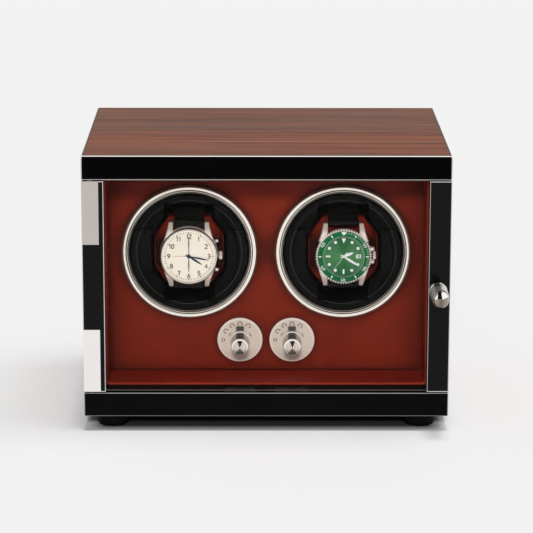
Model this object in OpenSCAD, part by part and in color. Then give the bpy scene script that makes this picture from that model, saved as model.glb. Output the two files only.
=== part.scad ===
/* [Cabinet] */
// Width of the cabinet
cab_w = 260; // [250:1:300]
// Depth of the cabinet, from the door's face to the back
cab_d = 200; // [185:1:240]
// Height of the cabinet without its feet
cab_h = 189.5; // [184:0.5:215]
// Thickness of the top and base slabs
slab_t = 17.5; // [14:0.5:20]
// Rounding of the slabs' edges
slab_edge_r = 1.2; // [0.5:0.1:2]
// Thickness of the side panels
side_t = 13.8; // [11:0.1:16]
// Thickness of the back panel
back_t = 9; // [6:0.5:12]
// Thickness of the veneer on the top
veneer_t = 0.8; // [0.5:0.1:1.5]
// Width of the lacquered edge around the veneer
veneer_inset = 1.6; // [1:0.1:4]

/* [Feet] */
// Diameter of a foot
foot_dia = 22.5; // [16:0.5:28]
// Height of a foot
foot_h = 11; // [8:0.5:16]
// Rounding of a foot's lower edge
foot_edge_r = 3; // [1:0.5:4]
// Distance of a foot's centre from the cabinet's side
foot_side_inset = 19.5; // [16:0.5:30]
// Distance of a foot's centre from the front or back
foot_end_inset = 21; // [16:0.5:30]

/* [Door] */
// Thickness of the door
door_t = 12; // [11:0.5:14]
// Gap above and below the door
door_gap = 0.8; // [0.5:0.1:1.5]
// Gap between the door's back and the side panels
door_back_gap = 2.2; // [1.8:0.1:4]
// Width of each door stile
stile_w = 15.5; // [14.5:0.1:20]
// Thickness of the glass pane
glass_t = 4; // [3:0.5:5]
// Depth of the glass groove in a stile
groove_depth = 4.5; // [3:0.5:5]
// Width of a hinge block
hinge_w = 12; // [10:0.5:13]
// Height of a hinge block
hinge_h = 45.5; // [30:0.5:50]
// Diameter of a hinge pin
pin_dia = 5; // [3:0.5:6]
// Depth of a hinge pin in its slab
pin_seat = 9; // [6:0.5:11]
// Wall of a hinge bushing
bushing_wall = 1.5; // [1:0.1:2]
// Distance of the door knob's centre from the cabinet's side
knob_side_inset = 8.6; // [8:0.1:12]
// Height of the door knob's centre above the base slab's underside
knob_z = 92.5; // [75:0.5:115]
// Reach of the door knob from the door's face
knob_reach = 32; // [26:0.5:38]
// Radius of the door knob's round end
knob_end_r = 5.85; // [5:0.05:7]
// Diameter of the catch magnet
magnet_dia = 8; // [6:0.5:9]

/* [Chamber] */
// Thickness of the leather-covered liners
liner_t = 2; // [1.5:0.1:3]
// Distance of the liners' front edges behind the side panels' front edges
liner_setback = 6.5; // [0:0.5:10]
// Depth of the fascia's face behind the door's face
fascia_y = 54; // [48:0.5:58]
// Thickness of the fascia
fascia_t = 6; // [4:0.5:8]
// Share of the chamber's spare width that lies between the two bezels
middle_share = 0.41; // [0.3:0.01:0.6]
// Height of the rotors' axes above the middle of the cabinet
rotor_rise = 13.85; // [10:0.05:17]

/* [Rotors] */
// Outer radius of a chrome bezel
bezel_r = 49.7; // [48:0.1:52]
// Radius of a bezel's bore
bezel_bore_r = 43.5; // [42:0.1:44]
// Height of a bezel in front of the fascia
bezel_proud = 3.6; // [2.5:0.1:5]
// Running gap between a cup and its bezel
cup_gap = 0.7; // [0.4:0.1:1.2]
// Wall of a cup
cup_wall = 2; // [1.5:0.1:2.5]
// Depth of a cup, from its lip to its back
cup_depth = 52.5; // [50:0.5:56]
// Width of a cup's flat lip
lip_w = 4.6; // [4:0.1:5]
// Depth of the mouth plate behind the lip's face
mouth_drop = 2.2; // [1.5:0.1:3]
// Thickness of the mouth plate
mouth_t = 2.5; // [2:0.1:4]
// Gap between a pillow and the mouth that it passes through
mouth_gap = 1; // [0.5:0.1:2]
// Width of the mouth's slots for the strap
slot_w = 37; // [30:0.5:38]
// Distance of a slot's end from the rotor's axis
slot_reach = 36; // [33:0.5:37]
// Thickness of the leather lining in a cup
lining_t = 1.2; // [0.8:0.1:2]
// Height of a clip ear
ear_h = 34; // [26:1:38]
// Height of a clip ear in front of the lip
ear_proud = 2; // [1:0.1:3]

/* [Pillows] */
// Width of a pillow
pillow_w = 53; // [48:0.5:54]
// Height of a pillow
pillow_h = 54; // [50:0.5:58]
// Rounding of a pillow's long edges
pillow_round = 16; // [10:0.5:20]
// Height of a pillow's front in front of the cup's lip
pillow_proud = 1.5; // [0:0.5:3]

/* [Watches] */
// Diameter of the left watch's case
left_case_dia = 42; // [36:0.5:44]
// Diameter of the right watch's case
right_case_dia = 40.5; // [36:0.5:44]
// Thickness of a watch case
case_t = 11; // [9:0.5:13]
// Width of a watch strap
strap_w = 22; // [18:0.5:24]
// Thickness of a watch strap
strap_t = 2; // [1.5:0.1:3]

/* [Drive] */
// Thickness of the plate that carries the drive
drive_plate_t = 4; // [3:0.5:6]
// Gap between a cup's hub and the bearing's flange
hub_gap = 1; // [0.5:0.1:2]
// Diameter of a rotor's spindle
spindle_dia = 8; // [6:0.5:10]
// Groove radius of a rotor's pulley
rotor_pulley_r = 25; // [20:0.5:27]
// Groove radius of a motor's pulley
motor_pulley_r = 5; // [4:0.5:6]
// Thickness of a drive belt
belt_t = 1.6; // [1:0.1:2.5]
// Diameter of a motor's gearbox
gearbox_dia = 25; // [20:0.5:28]
// Distance of a motor's axis from the centre
motor_x = 18; // [15:0.5:22]
// Height of a motor's axis above the base slab's underside
motor_z = 50; // [44:0.5:52]

/* [Controls] */
// Distance of a selector's axis from the centre
selector_x = 19; // [17.5:0.5:24]
// Height of a selector's axis above the base slab's underside
selector_z = 42.5; // [38:0.5:46]
// Diameter of a selector's plate
plate_dia = 33; // [26:0.5:34]
// Thickness of a selector's plate
plate_t = 1.2; // [0.8:0.1:2]
// Reach of a selector knob from its plate
dial_reach = 23; // [16:0.5:25]
// Diameter of a selector knob's collar
dial_collar_dia = 14.3; // [12:0.1:16]
// Diameter of a selector knob's body
dial_body_dia = 13.5; // [10:0.1:13.5]
// Diameter of a selector knob's spindle
dial_spindle_dia = 6; // [4:0.5:6]
// Width of the rocker switch's opening
rocker_w = 17; // [12:0.5:20]
// Height of the rocker switch's opening
rocker_h = 11; // [9:0.5:14]
// Tilt of the rocker each way
rocker_tilt = 8; // [4:1:10]
// Distance of the rocker and the inlet from the centre
rear_port_x = 22; // [18:0.5:40]
// Height of the rocker and the inlet above the base slab's underside
rear_port_z = 42; // [34:0.5:60]

/* [Hidden] */
$fn = 64;
// A cut goes this far past the face that it opens
cut = 1;
// Clearances: of a fixed fit, of a running fit, and of a soft or loose piece
fixed_fit = 0.02;
running_fit = 0.05;
loose_fit = 0.3;
black = [0.05, 0.05, 0.05];
rosewood = [0.45, 0.30, 0.26];
leather_red = [0.48, 0.16, 0.12];
chrome_tone = [0.85, 0.84, 0.82];
steel_tone = [0.72, 0.70, 0.66];

// Cabinet
rocker_end = 3.2;
rocker_pivot_depth = 1.5;
rocker_half_h = rocker_h / 2 - 0.6;
rear_reach = rocker_end * cos(rocker_tilt) + rocker_half_h * sin(rocker_tilt) - rocker_pivot_depth;
front_y = knob_reach - (knob_reach + cab_d + rear_reach) / 2;
inner_z0 = slab_t;
inner_z1 = cab_h - slab_t;
inner_h = inner_z1 - inner_z0;
side_y0 = door_t + door_back_gap;
side_y1 = cab_d - back_t;
side_in_x = cab_w / 2 - side_t;
liner_in_x = side_in_x - liner_t;
liner_y0 = side_y0 + liner_setback;
fascia_back_y = fascia_y + fascia_t;
foot_x = cab_w / 2 - foot_side_inset;
foot_ys = [foot_end_inset, cab_d - foot_end_inset];
foot_screw_r = 2.1;
foot_screw_head_r = 4.2;
foot_recess_r = 5;
foot_recess = foot_h / 2;
foot_screw_cover = 6;
foot_screw_in_slab = slab_t - foot_screw_cover;
back_screw_r = 1.8;
back_screw_head_r = 3.6;
back_screw_grip = 14;
back_screw_len = back_t + back_screw_grip;
back_screw_inset = 14;
back_screw_zs = [inner_z0 + back_screw_inset, (inner_z0 + inner_z1) / 2, inner_z1 - back_screw_inset];

// Door
pivot_r = door_t / 2;
pivot_x = -cab_w / 2 + pivot_r;
door_z0 = inner_z0 + door_gap;
door_z1 = inner_z1 - door_gap;
door_h = door_z1 - door_z0;
pin_r = pin_dia / 2;
pin_in_block = 14;
bushing_r = pin_r + bushing_wall;
tongue_w = 5;
tongue_len = 14;
hinge_screw_r = 1.5;
hinge_screw_head_r = 2.7;
knob_x = cab_w / 2 - knob_side_inset;
knob_screw_r = 2;
knob_screw_head_r = 4;
knob_screw_in_knob = 8;
screw_head_t = 2.2;
magnet_r = magnet_dia / 2;
magnet_x = cab_w / 2 - side_t / 2;
magnet_drop = 24;
magnet_z = inner_z1 - magnet_drop;
magnet_seat = 6;
strike_r = magnet_r + 0.8;
strike_t = 1;

// Rotors
bezel_w = bezel_r - bezel_bore_r;
bezel_neck_r = bezel_bore_r + bezel_w / 4.4;
bezel_neck_len = fascia_t + 3;
rotor_x = bezel_r + middle_share * (liner_in_x - 2 * bezel_r);
rotor_z = cab_h / 2 + rotor_rise;
cup_r = bezel_bore_r - cup_gap;
cup_y = fascia_y - bezel_proud + 1.1;
cup_back_y = cup_y + cup_depth;
cup_back_t = 3;
cup_floor_y = cup_back_y - cup_back_t;
mouth_y = cup_y + mouth_drop;
mouth_side_z = 11.5;
mouth_half_w = pillow_w / 2 + mouth_gap;
mouth_corner_z = 25.5;
corner_drop = 0.6;
lining_y = cup_floor_y - lining_t;
arm_t = 1.6;
arm_h = 20;
arm_y = mouth_y + mouth_t / 2;
ear_slot = 1;
ear_round = 4;
ear_in_w = 6.4;
hub_r = 9;
hub_len = 4;
hub_back_y = cup_back_y + hub_len;
spindle_r = spindle_dia / 2;
bearing_flange_t = 2;
bearing_wall = 3;
bearing_rim = 2;
bearing_r = spindle_r + bearing_wall;
bearing_flange_r = bearing_r + bearing_rim;
drive_y = hub_back_y + hub_gap + bearing_flange_t;
drive_back_y = drive_y + drive_plate_t;
pulley_gap = 1;
pulley_y = drive_back_y + pulley_gap;
flange_t = 1.5;
flange_lip = 1.8;
belt_w = 2.6;
belt_side_gap = 0.4;
pulley_t = 2 * flange_t + belt_w + 2 * belt_side_gap;
belt_y = pulley_y + flange_t + belt_side_gap;
spindle_end_y = pulley_y + pulley_t + 3;

// Pillows and watches
pillow_y = cup_y - pillow_proud;
pillow_back_y = lining_y - loose_fit;
pillow_d = pillow_back_y - pillow_y;
strap_front_y = pillow_y - strap_t;
case_back_y = strap_front_y - 0.2;
case_y = case_back_y - case_t;
case_bezel_w = 2.2;
dial_drop = 1.6;
dial_t = 0.6;
lug_w = 3.2;
lug_reach = 4.2;
lug_depth = 5.5;
strap_run = 8;
bar_r = 0.7;
bar_wall = 0.9;
bar_y = case_back_y - 1.4;
bar_inset = 1.7;
function bar_z(case_dia) = case_dia / 2 + lug_reach - bar_inset;
crown_r = 3.2;
crown_len = 3.6;
button_r = 1.7;
button_len = 3;

// Drive
motor_shaft_r = 1.5;
gearbox_len = 14;
motor_can_r = gearbox_dia / 2 - 2;
motor_can_len = 18;
motor_boss_r = 4;
motor_flange_w = 8;
motor_flange_t = 2;
motor_flange_h = 10;
motor_shaft_seat = 8;
spacer_r = 5;
spacer_inset = 12;
spacer_x = liner_in_x - spacer_inset;
spacer_zs = [inner_z0 + liner_t + spacer_inset, inner_z1 - liner_t - spacer_inset];
spacer_rebate = 3;
plate_edge_gap = 2;
board_h = 46;
board_t = 1.6;
board_rise = 16;
board_z = rotor_z + board_rise;
board_gap = 14;
board_y = drive_back_y + board_gap;
standoff_r = 3;
standoff_inset = 8;
standoff_gap = 2;
standoff_x = rotor_x - rotor_pulley_r - flange_lip - standoff_gap - standoff_r;
board_w = 2 * (standoff_x + standoff_inset);
chip_size = 14;
chip_t = 2.6;
plug_block = [9, 6.2, 8];
plug_block_z = 7;
cap_r = 3.2;
cap_len = 9;
cap_x = 18;
cap_z = 14;

// Selectors
plate_y = fascia_y - plate_t;
dial_y = plate_y - dial_reach;
dial_base_y = plate_y - loose_fit;
collar_len = 6;
groove_w = 1.2;
cone_drop = 1.6;
dial_spindle_r = dial_spindle_dia / 2;
switch_neck_r = dial_spindle_r + 1;
switch_size = 17;
switch_len = 15;
dial_spindle_in = 8;

// Rear ports
inlet_r = 5.5;
inlet_flange_r = 7.5;
inlet_flange_t = 1.5;
inlet_socket_r = 2.85;
inlet_pin_r = 1;
inlet_len = 14;
inlet_socket_len = 10;
frame_rim = 2.2;
frame_proud = 1.2;
frame_wall = 1.2;
rocker_case_len = 16;
frame_w = rocker_w + 2 * frame_wall;
frame_h = rocker_h + 2 * frame_wall;

// Everything is placed from the door's face, and from the base slab's underside
module in_cabinet() {
    translate([0, front_y, foot_h]) children();
}

// A rod along Y from y0 to y1
module rod_y(r, y0, y1) {
    translate([0, y0, 0]) rotate([-90, 0, 0]) cylinder(r = r, h = y1 - y0);
}

// A turned body about Y, from points [radius, y]
module turned_y(points) {
    rotate([-90, 0, 0]) rotate_extrude() polygon(points);
}

// A rectangle with round corners, centred
module round_rect(w, h, r) {
    square([w - 2 * r, h], center = true);
    square([w, h - 2 * r], center = true);
    for (sx = [-1, 1], sy = [-1, 1]) {
        translate([sx * (w / 2 - r), sy * (h / 2 - r)]) circle(r);
    }
}

// A slab with all its edges rounded, from z = 0 up
module round_slab(w, d, h, r) {
    intersection() {
        linear_extrude(h) round_rect(w, d, r);
        translate([0, d / 2, h / 2]) rotate([90, 0, 0]) linear_extrude(d) round_rect(w, h, r);
        translate([-w / 2, 0, h / 2]) rotate([90, 0, 90]) linear_extrude(w) round_rect(d, h, r);
    }
}

// A countersunk screw along +Y with its head's face at y = 0
module screw_y(r, head_r, length) {
    turned_y([[0, 0], [head_r, 0], [r, screw_head_t], [r, length - r], [0, length]]);
}

module screw_hole_y(r, head_r, length) {
    turned_y([
        [0, -cut], [head_r + fixed_fit, -cut], [head_r + fixed_fit, 0], [r + fixed_fit, screw_head_t],
        [r + fixed_fit, length + fixed_fit], [0, length + fixed_fit]
    ]);
}

module at_feet() {
    for (sx = [-1, 1], y = foot_ys) {
        translate([sx * foot_x, y, 0]) children();
    }
}

module base_slab() {
    color(black) in_cabinet() difference() {
        translate([0, cab_d / 2, 0]) round_slab(cab_w, cab_d, slab_t, slab_edge_r);
        translate([pivot_x, pivot_r, slab_t - pin_seat - fixed_fit])
            cylinder(r = bushing_r + fixed_fit, h = slab_t);
        at_feet() translate([0, 0, -cut])
            cylinder(r = foot_screw_r + fixed_fit, h = foot_screw_in_slab + cut);
    }
}

module top_slab() {
    color(black) in_cabinet() difference() {
        translate([0, cab_d / 2, inner_z1]) round_slab(cab_w, cab_d, slab_t, slab_edge_r);
        translate([pivot_x, pivot_r, inner_z1 - cut])
            cylinder(r = bushing_r + fixed_fit, h = pin_seat + cut + fixed_fit);
        translate([-cab_w / 2 + veneer_inset, veneer_inset, cab_h - veneer_t])
            cube([cab_w - 2 * veneer_inset, cab_d - 2 * veneer_inset, veneer_t + cut]);
    }
}

module top_veneer() {
    edge = veneer_inset + running_fit;
    color(rosewood) in_cabinet() translate([-cab_w / 2 + edge, edge, cab_h - veneer_t])
        cube([cab_w - 2 * edge, cab_d - 2 * edge, veneer_t]);
}

module at_back_screws(sides) {
    for (sx = sides, z = back_screw_zs) {
        translate([sx * (cab_w / 2 - side_t / 2), cab_d, z]) rotate([0, 0, 180]) children();
    }
}

module side_panel(side) {
    color(rosewood) in_cabinet() difference() {
        translate([side > 0 ? side_in_x : -cab_w / 2, side_y0, inner_z0])
            cube([side_t, side_y1 - side_y0, inner_h]);
        at_back_screws([side]) screw_hole_y(back_screw_r, back_screw_head_r, back_screw_len);
        if (side > 0) {
            translate([magnet_x, 0, magnet_z]) rod_y(magnet_r + fixed_fit, 0, side_y0 + magnet_seat);
        }
    }
}

module back_panel() {
    color(black) in_cabinet() difference() {
        translate([-cab_w / 2, side_y1, inner_z0]) cube([cab_w, back_t, inner_h]);
        at_back_screws([-1, 1]) screw_hole_y(back_screw_r, back_screw_head_r, back_screw_len);
        translate([-rear_port_x, 0, rear_port_z]) rod_y(inlet_r + fixed_fit, side_y1 - cut, cab_d + cut);
        translate([rear_port_x, cab_d, rear_port_z])
            cube([frame_w + 2 * fixed_fit, 3 * back_t, frame_h + 2 * fixed_fit], center = true);
    }
}

module back_screws() {
    color(steel_tone) in_cabinet() at_back_screws([-1, 1])
        screw_y(back_screw_r, back_screw_head_r, back_screw_len);
}

module feet() {
    foot_r = foot_dia / 2;
    color(black) translate([0, front_y, 0]) at_feet() difference() {
        rotate_extrude() {
            square([foot_r - foot_edge_r, foot_h]);
            translate([0, foot_edge_r]) square([foot_r, foot_h - foot_edge_r]);
            translate([foot_r - foot_edge_r, foot_edge_r]) circle(foot_edge_r);
            square([foot_edge_r, foot_edge_r]);
        }
        translate([0, 0, -cut]) cylinder(r = foot_recess_r, h = foot_recess + cut);
        translate([0, 0, -cut]) cylinder(r = foot_screw_r + fixed_fit, h = foot_h + 2 * cut);
    }
}

module foot_screws() {
    color(steel_tone) translate([0, front_y, 0]) at_feet() {
        translate([0, 0, foot_recess - screw_head_t]) cylinder(r = foot_screw_head_r, h = screw_head_t);
        translate([0, 0, foot_recess - cut / 2])
            cylinder(r = foot_screw_r, h = foot_h + foot_screw_in_slab - foot_recess);
    }
}

module flat_liner(z) {
    color(leather_red) in_cabinet() translate([-side_in_x, liner_y0, z])
        cube([2 * side_in_x, side_y1 - liner_y0, liner_t]);
}

module side_liners() {
    color(leather_red) in_cabinet() for (sx = [-1, 1]) {
        translate([sx > 0 ? liner_in_x : -side_in_x, liner_y0, inner_z0 + liner_t])
            cube([liner_t, side_y1 - liner_y0, inner_h - 2 * liner_t]);
    }
}

module at_rotor(side) {
    in_cabinet() translate([side * rotor_x, 0, rotor_z]) children();
}

module at_selector(side) {
    in_cabinet() translate([side * selector_x, 0, selector_z]) children();
}

module at_motor(side) {
    in_cabinet() translate([side * motor_x, 0, motor_z]) children();
}

module fascia_panel() {
    color(leather_red) difference() {
        in_cabinet() translate([-liner_in_x, fascia_y, inner_z0 + liner_t])
            cube([2 * liner_in_x, fascia_t, inner_h - 2 * liner_t]);
        for (side = [-1, 1]) {
            at_rotor(side) rod_y(bezel_neck_r + fixed_fit, fascia_y - cut, fascia_back_y + cut);
            at_selector(side) rod_y(switch_neck_r + fixed_fit, fascia_y - cut, fascia_back_y + cut);
        }
    }
}

// The bezel's section, inwards from its rim: skirt, bevel, groove, polished face, groove and lip
module bezel(side) {
    p = bezel_proud;
    w = bezel_w;
    color(chrome_tone) at_rotor(side) translate([0, fascia_y, 0]) turned_y([
        [bezel_r, 0], [bezel_r, -0.25 * p],
        [bezel_r - 0.18 * w, -0.62 * p], [bezel_r - 0.26 * w, -0.62 * p],
        [bezel_r - 0.31 * w, -0.9 * p], [bezel_r - 0.4 * w, -p], [bezel_r - 0.61 * w, -p],
        [bezel_r - 0.71 * w, -0.9 * p], [bezel_r - 0.76 * w, -0.65 * p], [bezel_r - 0.81 * w, -0.65 * p],
        [bezel_r - 0.83 * w, -0.82 * p], [bezel_r - 0.89 * w, -0.82 * p], [bezel_bore_r, -0.6 * p],
        [bezel_bore_r, bezel_neck_len], [bezel_neck_r, bezel_neck_len], [bezel_neck_r, 0]
    ]);
}

module selector_plate(side) {
    r = plate_dia / 2;
    color(steel_tone) at_selector(side) difference() {
        turned_y([[0, plate_y], [r - 0.5, plate_y], [r, plate_y + 0.5], [r, fascia_y], [0, fascia_y]]);
        rod_y(switch_neck_r + fixed_fit, plate_y - cut, fascia_y + cut);
    }
}

module drive_plate() {
    edge = liner_in_x - plate_edge_gap;
    color(black) difference() {
        in_cabinet() translate([-edge, drive_y, inner_z0 + liner_t + plate_edge_gap])
            cube([2 * edge, drive_plate_t, inner_h - 2 * liner_t - 2 * plate_edge_gap]);
        for (side = [-1, 1]) {
            at_rotor(side) rod_y(bearing_r + fixed_fit, drive_y - cut, drive_back_y + cut);
            at_motor(side) rod_y(motor_boss_r + fixed_fit, drive_y - cut, drive_back_y + cut);
        }
    }
}

module drive_spacers() {
    color(steel_tone) in_cabinet() for (sx = [-1, 1], z = spacer_zs) {
        translate([sx * spacer_x, 0, z]) rod_y(spacer_r, fascia_back_y, drive_y);
    }
}

module spindle_bearings() {
    color(steel_tone) for (side = [-1, 1]) {
        at_rotor(side) turned_y([
            [spindle_r + running_fit, drive_y - bearing_flange_t],
            [bearing_flange_r, drive_y - bearing_flange_t],
            [bearing_flange_r, drive_y], [bearing_r, drive_y], [bearing_r, drive_back_y],
            [spindle_r + running_fit, drive_back_y]
        ]);
    }
}

module motor(side) {
    y1 = drive_y;
    y0 = y1 - gearbox_len;
    color(steel_tone) at_motor(side) difference() {
        union() {
            rod_y(gearbox_dia / 2, y0, y1);
            rod_y(motor_can_r, y0 - motor_can_len, y0 + cut);
            rod_y(motor_boss_r, y1 - cut, drive_back_y);
            translate([0, y1 - motor_flange_t / 2, 0])
                cube([gearbox_dia + motor_flange_w, motor_flange_t, motor_flange_h], center = true);
        }
        rod_y(motor_shaft_r + running_fit, y1 - motor_shaft_seat, drive_back_y + cut);
    }
}

module motor_pulley(side) {
    r = motor_pulley_r;
    color(black) at_motor(side) union() {
        pulley_profile(r, motor_shaft_r);
        rod_y(motor_shaft_r, drive_y - motor_shaft_seat + loose_fit, pulley_y + pulley_t + 1);
    }
}

// A grooved wheel on a shaft
module pulley_profile(r, shaft_r) {
    rim = r + flange_lip;
    y0 = pulley_y;
    turned_y([
        [shaft_r / 2, y0], [rim, y0], [rim, y0 + flange_t], [r, y0 + flange_t],
        [r, y0 + pulley_t - flange_t],
        [rim, y0 + pulley_t - flange_t], [rim, y0 + pulley_t], [shaft_r / 2, y0 + pulley_t]
    ]);
}

module rotor_pulley(side) {
    color(black) at_rotor(side) union() {
        pulley_profile(rotor_pulley_r, spindle_r);
        rod_y(spindle_r, cup_floor_y + fixed_fit, spindle_end_y);
    }
}

// The outline of a belt: two arcs about the rotor's and the motor's axes, joined by their tangents
function arc(c, r, a0, a1, steps) = [for (i = [0 : steps]) let (a = a0 + (a1 - a0) * i / steps)
    c + r * [cos(a), sin(a)]];
function belt_outline(big, r_big, small, r_small) =
    let (d = small - big, span = norm(d), heading = atan2(d[1], d[0]))
    let (lean = acos((r_big - r_small) / span))
    concat(arc(big, r_big, heading + lean, heading + 360 - lean, 72),
        arc(small, r_small, heading - lean, heading + lean, 36));

module drive_belts() {
    rotor_at = [rotor_x, -rotor_z];
    motor_at = [motor_x, -motor_z];
    big = rotor_pulley_r + loose_fit;
    small = motor_pulley_r + loose_fit;
    color(black) in_cabinet() for (side = [0, 1]) {
        mirror([side, 0, 0]) translate([0, belt_y, 0]) rotate([-90, 0, 0]) linear_extrude(belt_w)
            difference() {
            polygon(belt_outline(rotor_at, big + belt_t, motor_at, small + belt_t));
            polygon(belt_outline(rotor_at, big, motor_at, small));
        }
    }
}

module switch_body(side) {
    color(black) at_selector(side) difference() {
        union() {
            translate([0, fascia_back_y + switch_len / 2, 0])
                cube([switch_size, switch_len, switch_size], center = true);
            rod_y(switch_neck_r, plate_y, fascia_back_y + cut);
        }
        rod_y(dial_spindle_r + running_fit, plate_y - cut, fascia_back_y + dial_spindle_in + running_fit);
    }
}

module control_board() {
    block_x = standoff_x - plug_block[0] / 2;
    color([0.10, 0.30, 0.18]) in_cabinet() translate([0, board_y, board_z]) {
        translate([0, board_t / 2, 0]) cube([board_w, board_t, board_h], center = true);
        translate([0, board_t + chip_t / 2, 0]) cube([chip_size, chip_t, chip_size], center = true);
        for (sx = [-1, 1]) {
            translate([sx * block_x, board_t + plug_block[1] / 2, -plug_block_z])
                cube(plug_block, center = true);
            translate([sx * cap_x, 0, cap_z]) rod_y(cap_r, board_t, board_t + cap_len);
        }
    }
}

module board_standoffs() {
    color(steel_tone) in_cabinet() for (sx = [-1, 1], sz = [-1, 1]) {
        translate([sx * standoff_x, 0, board_z + sz * (board_h / 2 - standoff_inset)])
            rod_y(standoff_r, drive_back_y, board_y);
    }
}

module power_inlet() {
    color(black) in_cabinet() translate([-rear_port_x, 0, rear_port_z]) {
        difference() {
            union() {
                rod_y(inlet_r, cab_d - inlet_len, cab_d + inlet_flange_t);
                rod_y(inlet_flange_r, cab_d, cab_d + inlet_flange_t);
            }
            rod_y(inlet_socket_r, cab_d - inlet_socket_len, cab_d + inlet_flange_t + cut);
        }
        rod_y(inlet_pin_r, cab_d - inlet_socket_len - cut, cab_d);
    }
}

module rocker_frame() {
    w = frame_w;
    h = frame_h;
    color(black) in_cabinet() translate([rear_port_x, 0, rear_port_z]) difference() {
        union() {
            translate([-w / 2, cab_d - rocker_case_len, -h / 2])
                cube([w, rocker_case_len + frame_proud, h]);
            translate([-w / 2 - frame_rim, cab_d, -h / 2 - frame_rim])
                cube([w + 2 * frame_rim, frame_proud, h + 2 * frame_rim]);
        }
        translate([-rocker_w / 2, cab_d - rocker_case_len + 2, -rocker_h / 2])
            cube([rocker_w, rocker_case_len, rocker_h]);
        translate([-w / 2 - cut, cab_d - rocker_pivot_depth, 0]) rotate([0, 90, 0])
            cylinder(r = 1 + running_fit, h = w + 2 * cut);
    }
}

// The rocker: a shallow V that turns about a pin along X
module rocker() {
    half = rocker_half_h;
    w = rocker_w - 2 * loose_fit;
    color(black) in_cabinet() translate([rear_port_x, cab_d - rocker_pivot_depth, rear_port_z]) {
        rotate([rocker_tilt, 0, 0]) translate([-w / 2, 0, 0]) rotate([90, 0, 90]) linear_extrude(w)
            polygon([
                [rocker_end, half], [2, 0], [rocker_end, -half],
                [-1.5, -half + 1], [-4, 0], [-1.5, half - 1]
            ]);
        translate([-rocker_w / 2 - frame_wall, 0, 0]) rotate([0, 90, 0])
            cylinder(r = 1, h = rocker_w + 2 * frame_wall);
    }
}

module catch_magnet() {
    color(steel_tone) in_cabinet() translate([magnet_x, 0, magnet_z])
        rod_y(magnet_r, door_t + loose_fit, side_y0 + magnet_seat);
}

module strike_plate() {
    color(steel_tone) in_cabinet() translate([magnet_x, 0, magnet_z])
        rod_y(strike_r, door_t - strike_t, door_t);
}

module hinge_bushings() {
    color(steel_tone) in_cabinet() for (z = [slab_t - pin_seat, inner_z1]) {
        translate([pivot_x, pivot_r, z]) difference() {
            cylinder(r = bushing_r, h = pin_seat);
            translate([0, 0, -cut]) cylinder(r = pin_r + running_fit, h = pin_seat + 2 * cut);
        }
    }
}

// The door's plan at its hinge side: its back edge is round about the pivot
module hinge_side_plan(w) {
    edge = 1;
    translate([pivot_x, pivot_r]) circle(pivot_r);
    translate([pivot_x, 0]) square([w - pivot_r, door_t]);
    translate([-cab_w / 2, edge]) square([pivot_r, pivot_r - edge]);
    translate([-cab_w / 2 + edge, 0]) square([pivot_r, pivot_r]);
    translate([-cab_w / 2 + edge, edge]) circle(edge);
}

module glass_groove() {
    half = cab_w / 2 - stile_w + groove_depth + fixed_fit;
    translate([-half, (door_t - glass_t) / 2 - fixed_fit, door_z0 - cut])
        cube([2 * half, glass_t + 2 * fixed_fit, door_h + 2 * cut]);
}

module tongue(z0, z1, fit) {
    translate([pivot_x - tongue_w / 2 - fit, pivot_r - tongue_w / 2 - fit, z0 - fit])
        cube([tongue_w + 2 * fit, tongue_w + 2 * fit, z1 - z0 + 2 * fit]);
}

hinge_z0s = [door_z0, door_z1 - hinge_h];
tongue_z0s = [door_z0 + hinge_h, door_z1 - hinge_h - tongue_len];

module door_stile_left() {
    color(black) in_cabinet() difference() {
        translate([0, 0, door_z0]) linear_extrude(door_h) hinge_side_plan(stile_w);
        glass_groove();
        for (z = hinge_z0s) {
            translate([-cab_w / 2 - cut, -cut, z - (z == door_z0 ? cut : 0)])
                cube([hinge_w + cut, door_t + 2 * cut, hinge_h + cut]);
        }
        for (z = tongue_z0s) {
            tongue(z, z + tongue_len, fixed_fit);
            translate([pivot_x, door_t, z + tongue_len / 2]) rotate([0, 0, 180])
                screw_hole_y(hinge_screw_r, hinge_screw_head_r, door_t - 2);
        }
    }
}

module door_stile_right() {
    color(black) in_cabinet() difference() {
        translate([cab_w / 2 - stile_w / 2, door_t / 2, door_z0]) linear_extrude(door_h)
            round_rect(stile_w, door_t, 1);
        glass_groove();
        translate([knob_x, 0, knob_z]) {
            rod_y(knob_screw_r + fixed_fit, -cut, door_t);
            rod_y(knob_screw_head_r + fixed_fit, door_t - screw_head_t, door_t + cut);
        }
        translate([magnet_x, 0, magnet_z])
            rod_y(strike_r + fixed_fit, door_t - strike_t - fixed_fit, door_t + cut);
    }
}

module door_glass() {
    half = cab_w / 2 - stile_w + groove_depth;
    color([0.8, 0.85, 0.85, 0.3]) in_cabinet() translate([-half, (door_t - glass_t) / 2, door_z0])
        cube([2 * half, glass_t, door_h]);
}

module hinge_block(z0, tongue_z0, pin_z0) {
    color(chrome_tone) in_cabinet() difference() {
        union() {
            translate([0, 0, z0]) linear_extrude(hinge_h) hinge_side_plan(hinge_w);
            tongue(min(tongue_z0, z0 + hinge_h - cut), max(tongue_z0 + tongue_len, z0 + cut), 0);
        }
        glass_groove();
        translate([pivot_x, pivot_r, pin_z0]) cylinder(r = pin_r + fixed_fit, h = pin_in_block + cut);
        translate([pivot_x, door_t, tongue_z0 + tongue_len / 2]) rotate([0, 0, 180])
            screw_hole_y(hinge_screw_r, hinge_screw_head_r, door_t - 2);
    }
}

module hinge_pins() {
    pin_len = pin_in_block + door_gap + pin_seat - 2 * fixed_fit;
    color(steel_tone) in_cabinet() for (z = [inner_z0 - pin_seat, inner_z1 + pin_seat - pin_len]) {
        translate([pivot_x, pivot_r, z]) cylinder(r = pin_r, h = pin_len - fixed_fit);
    }
}

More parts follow.
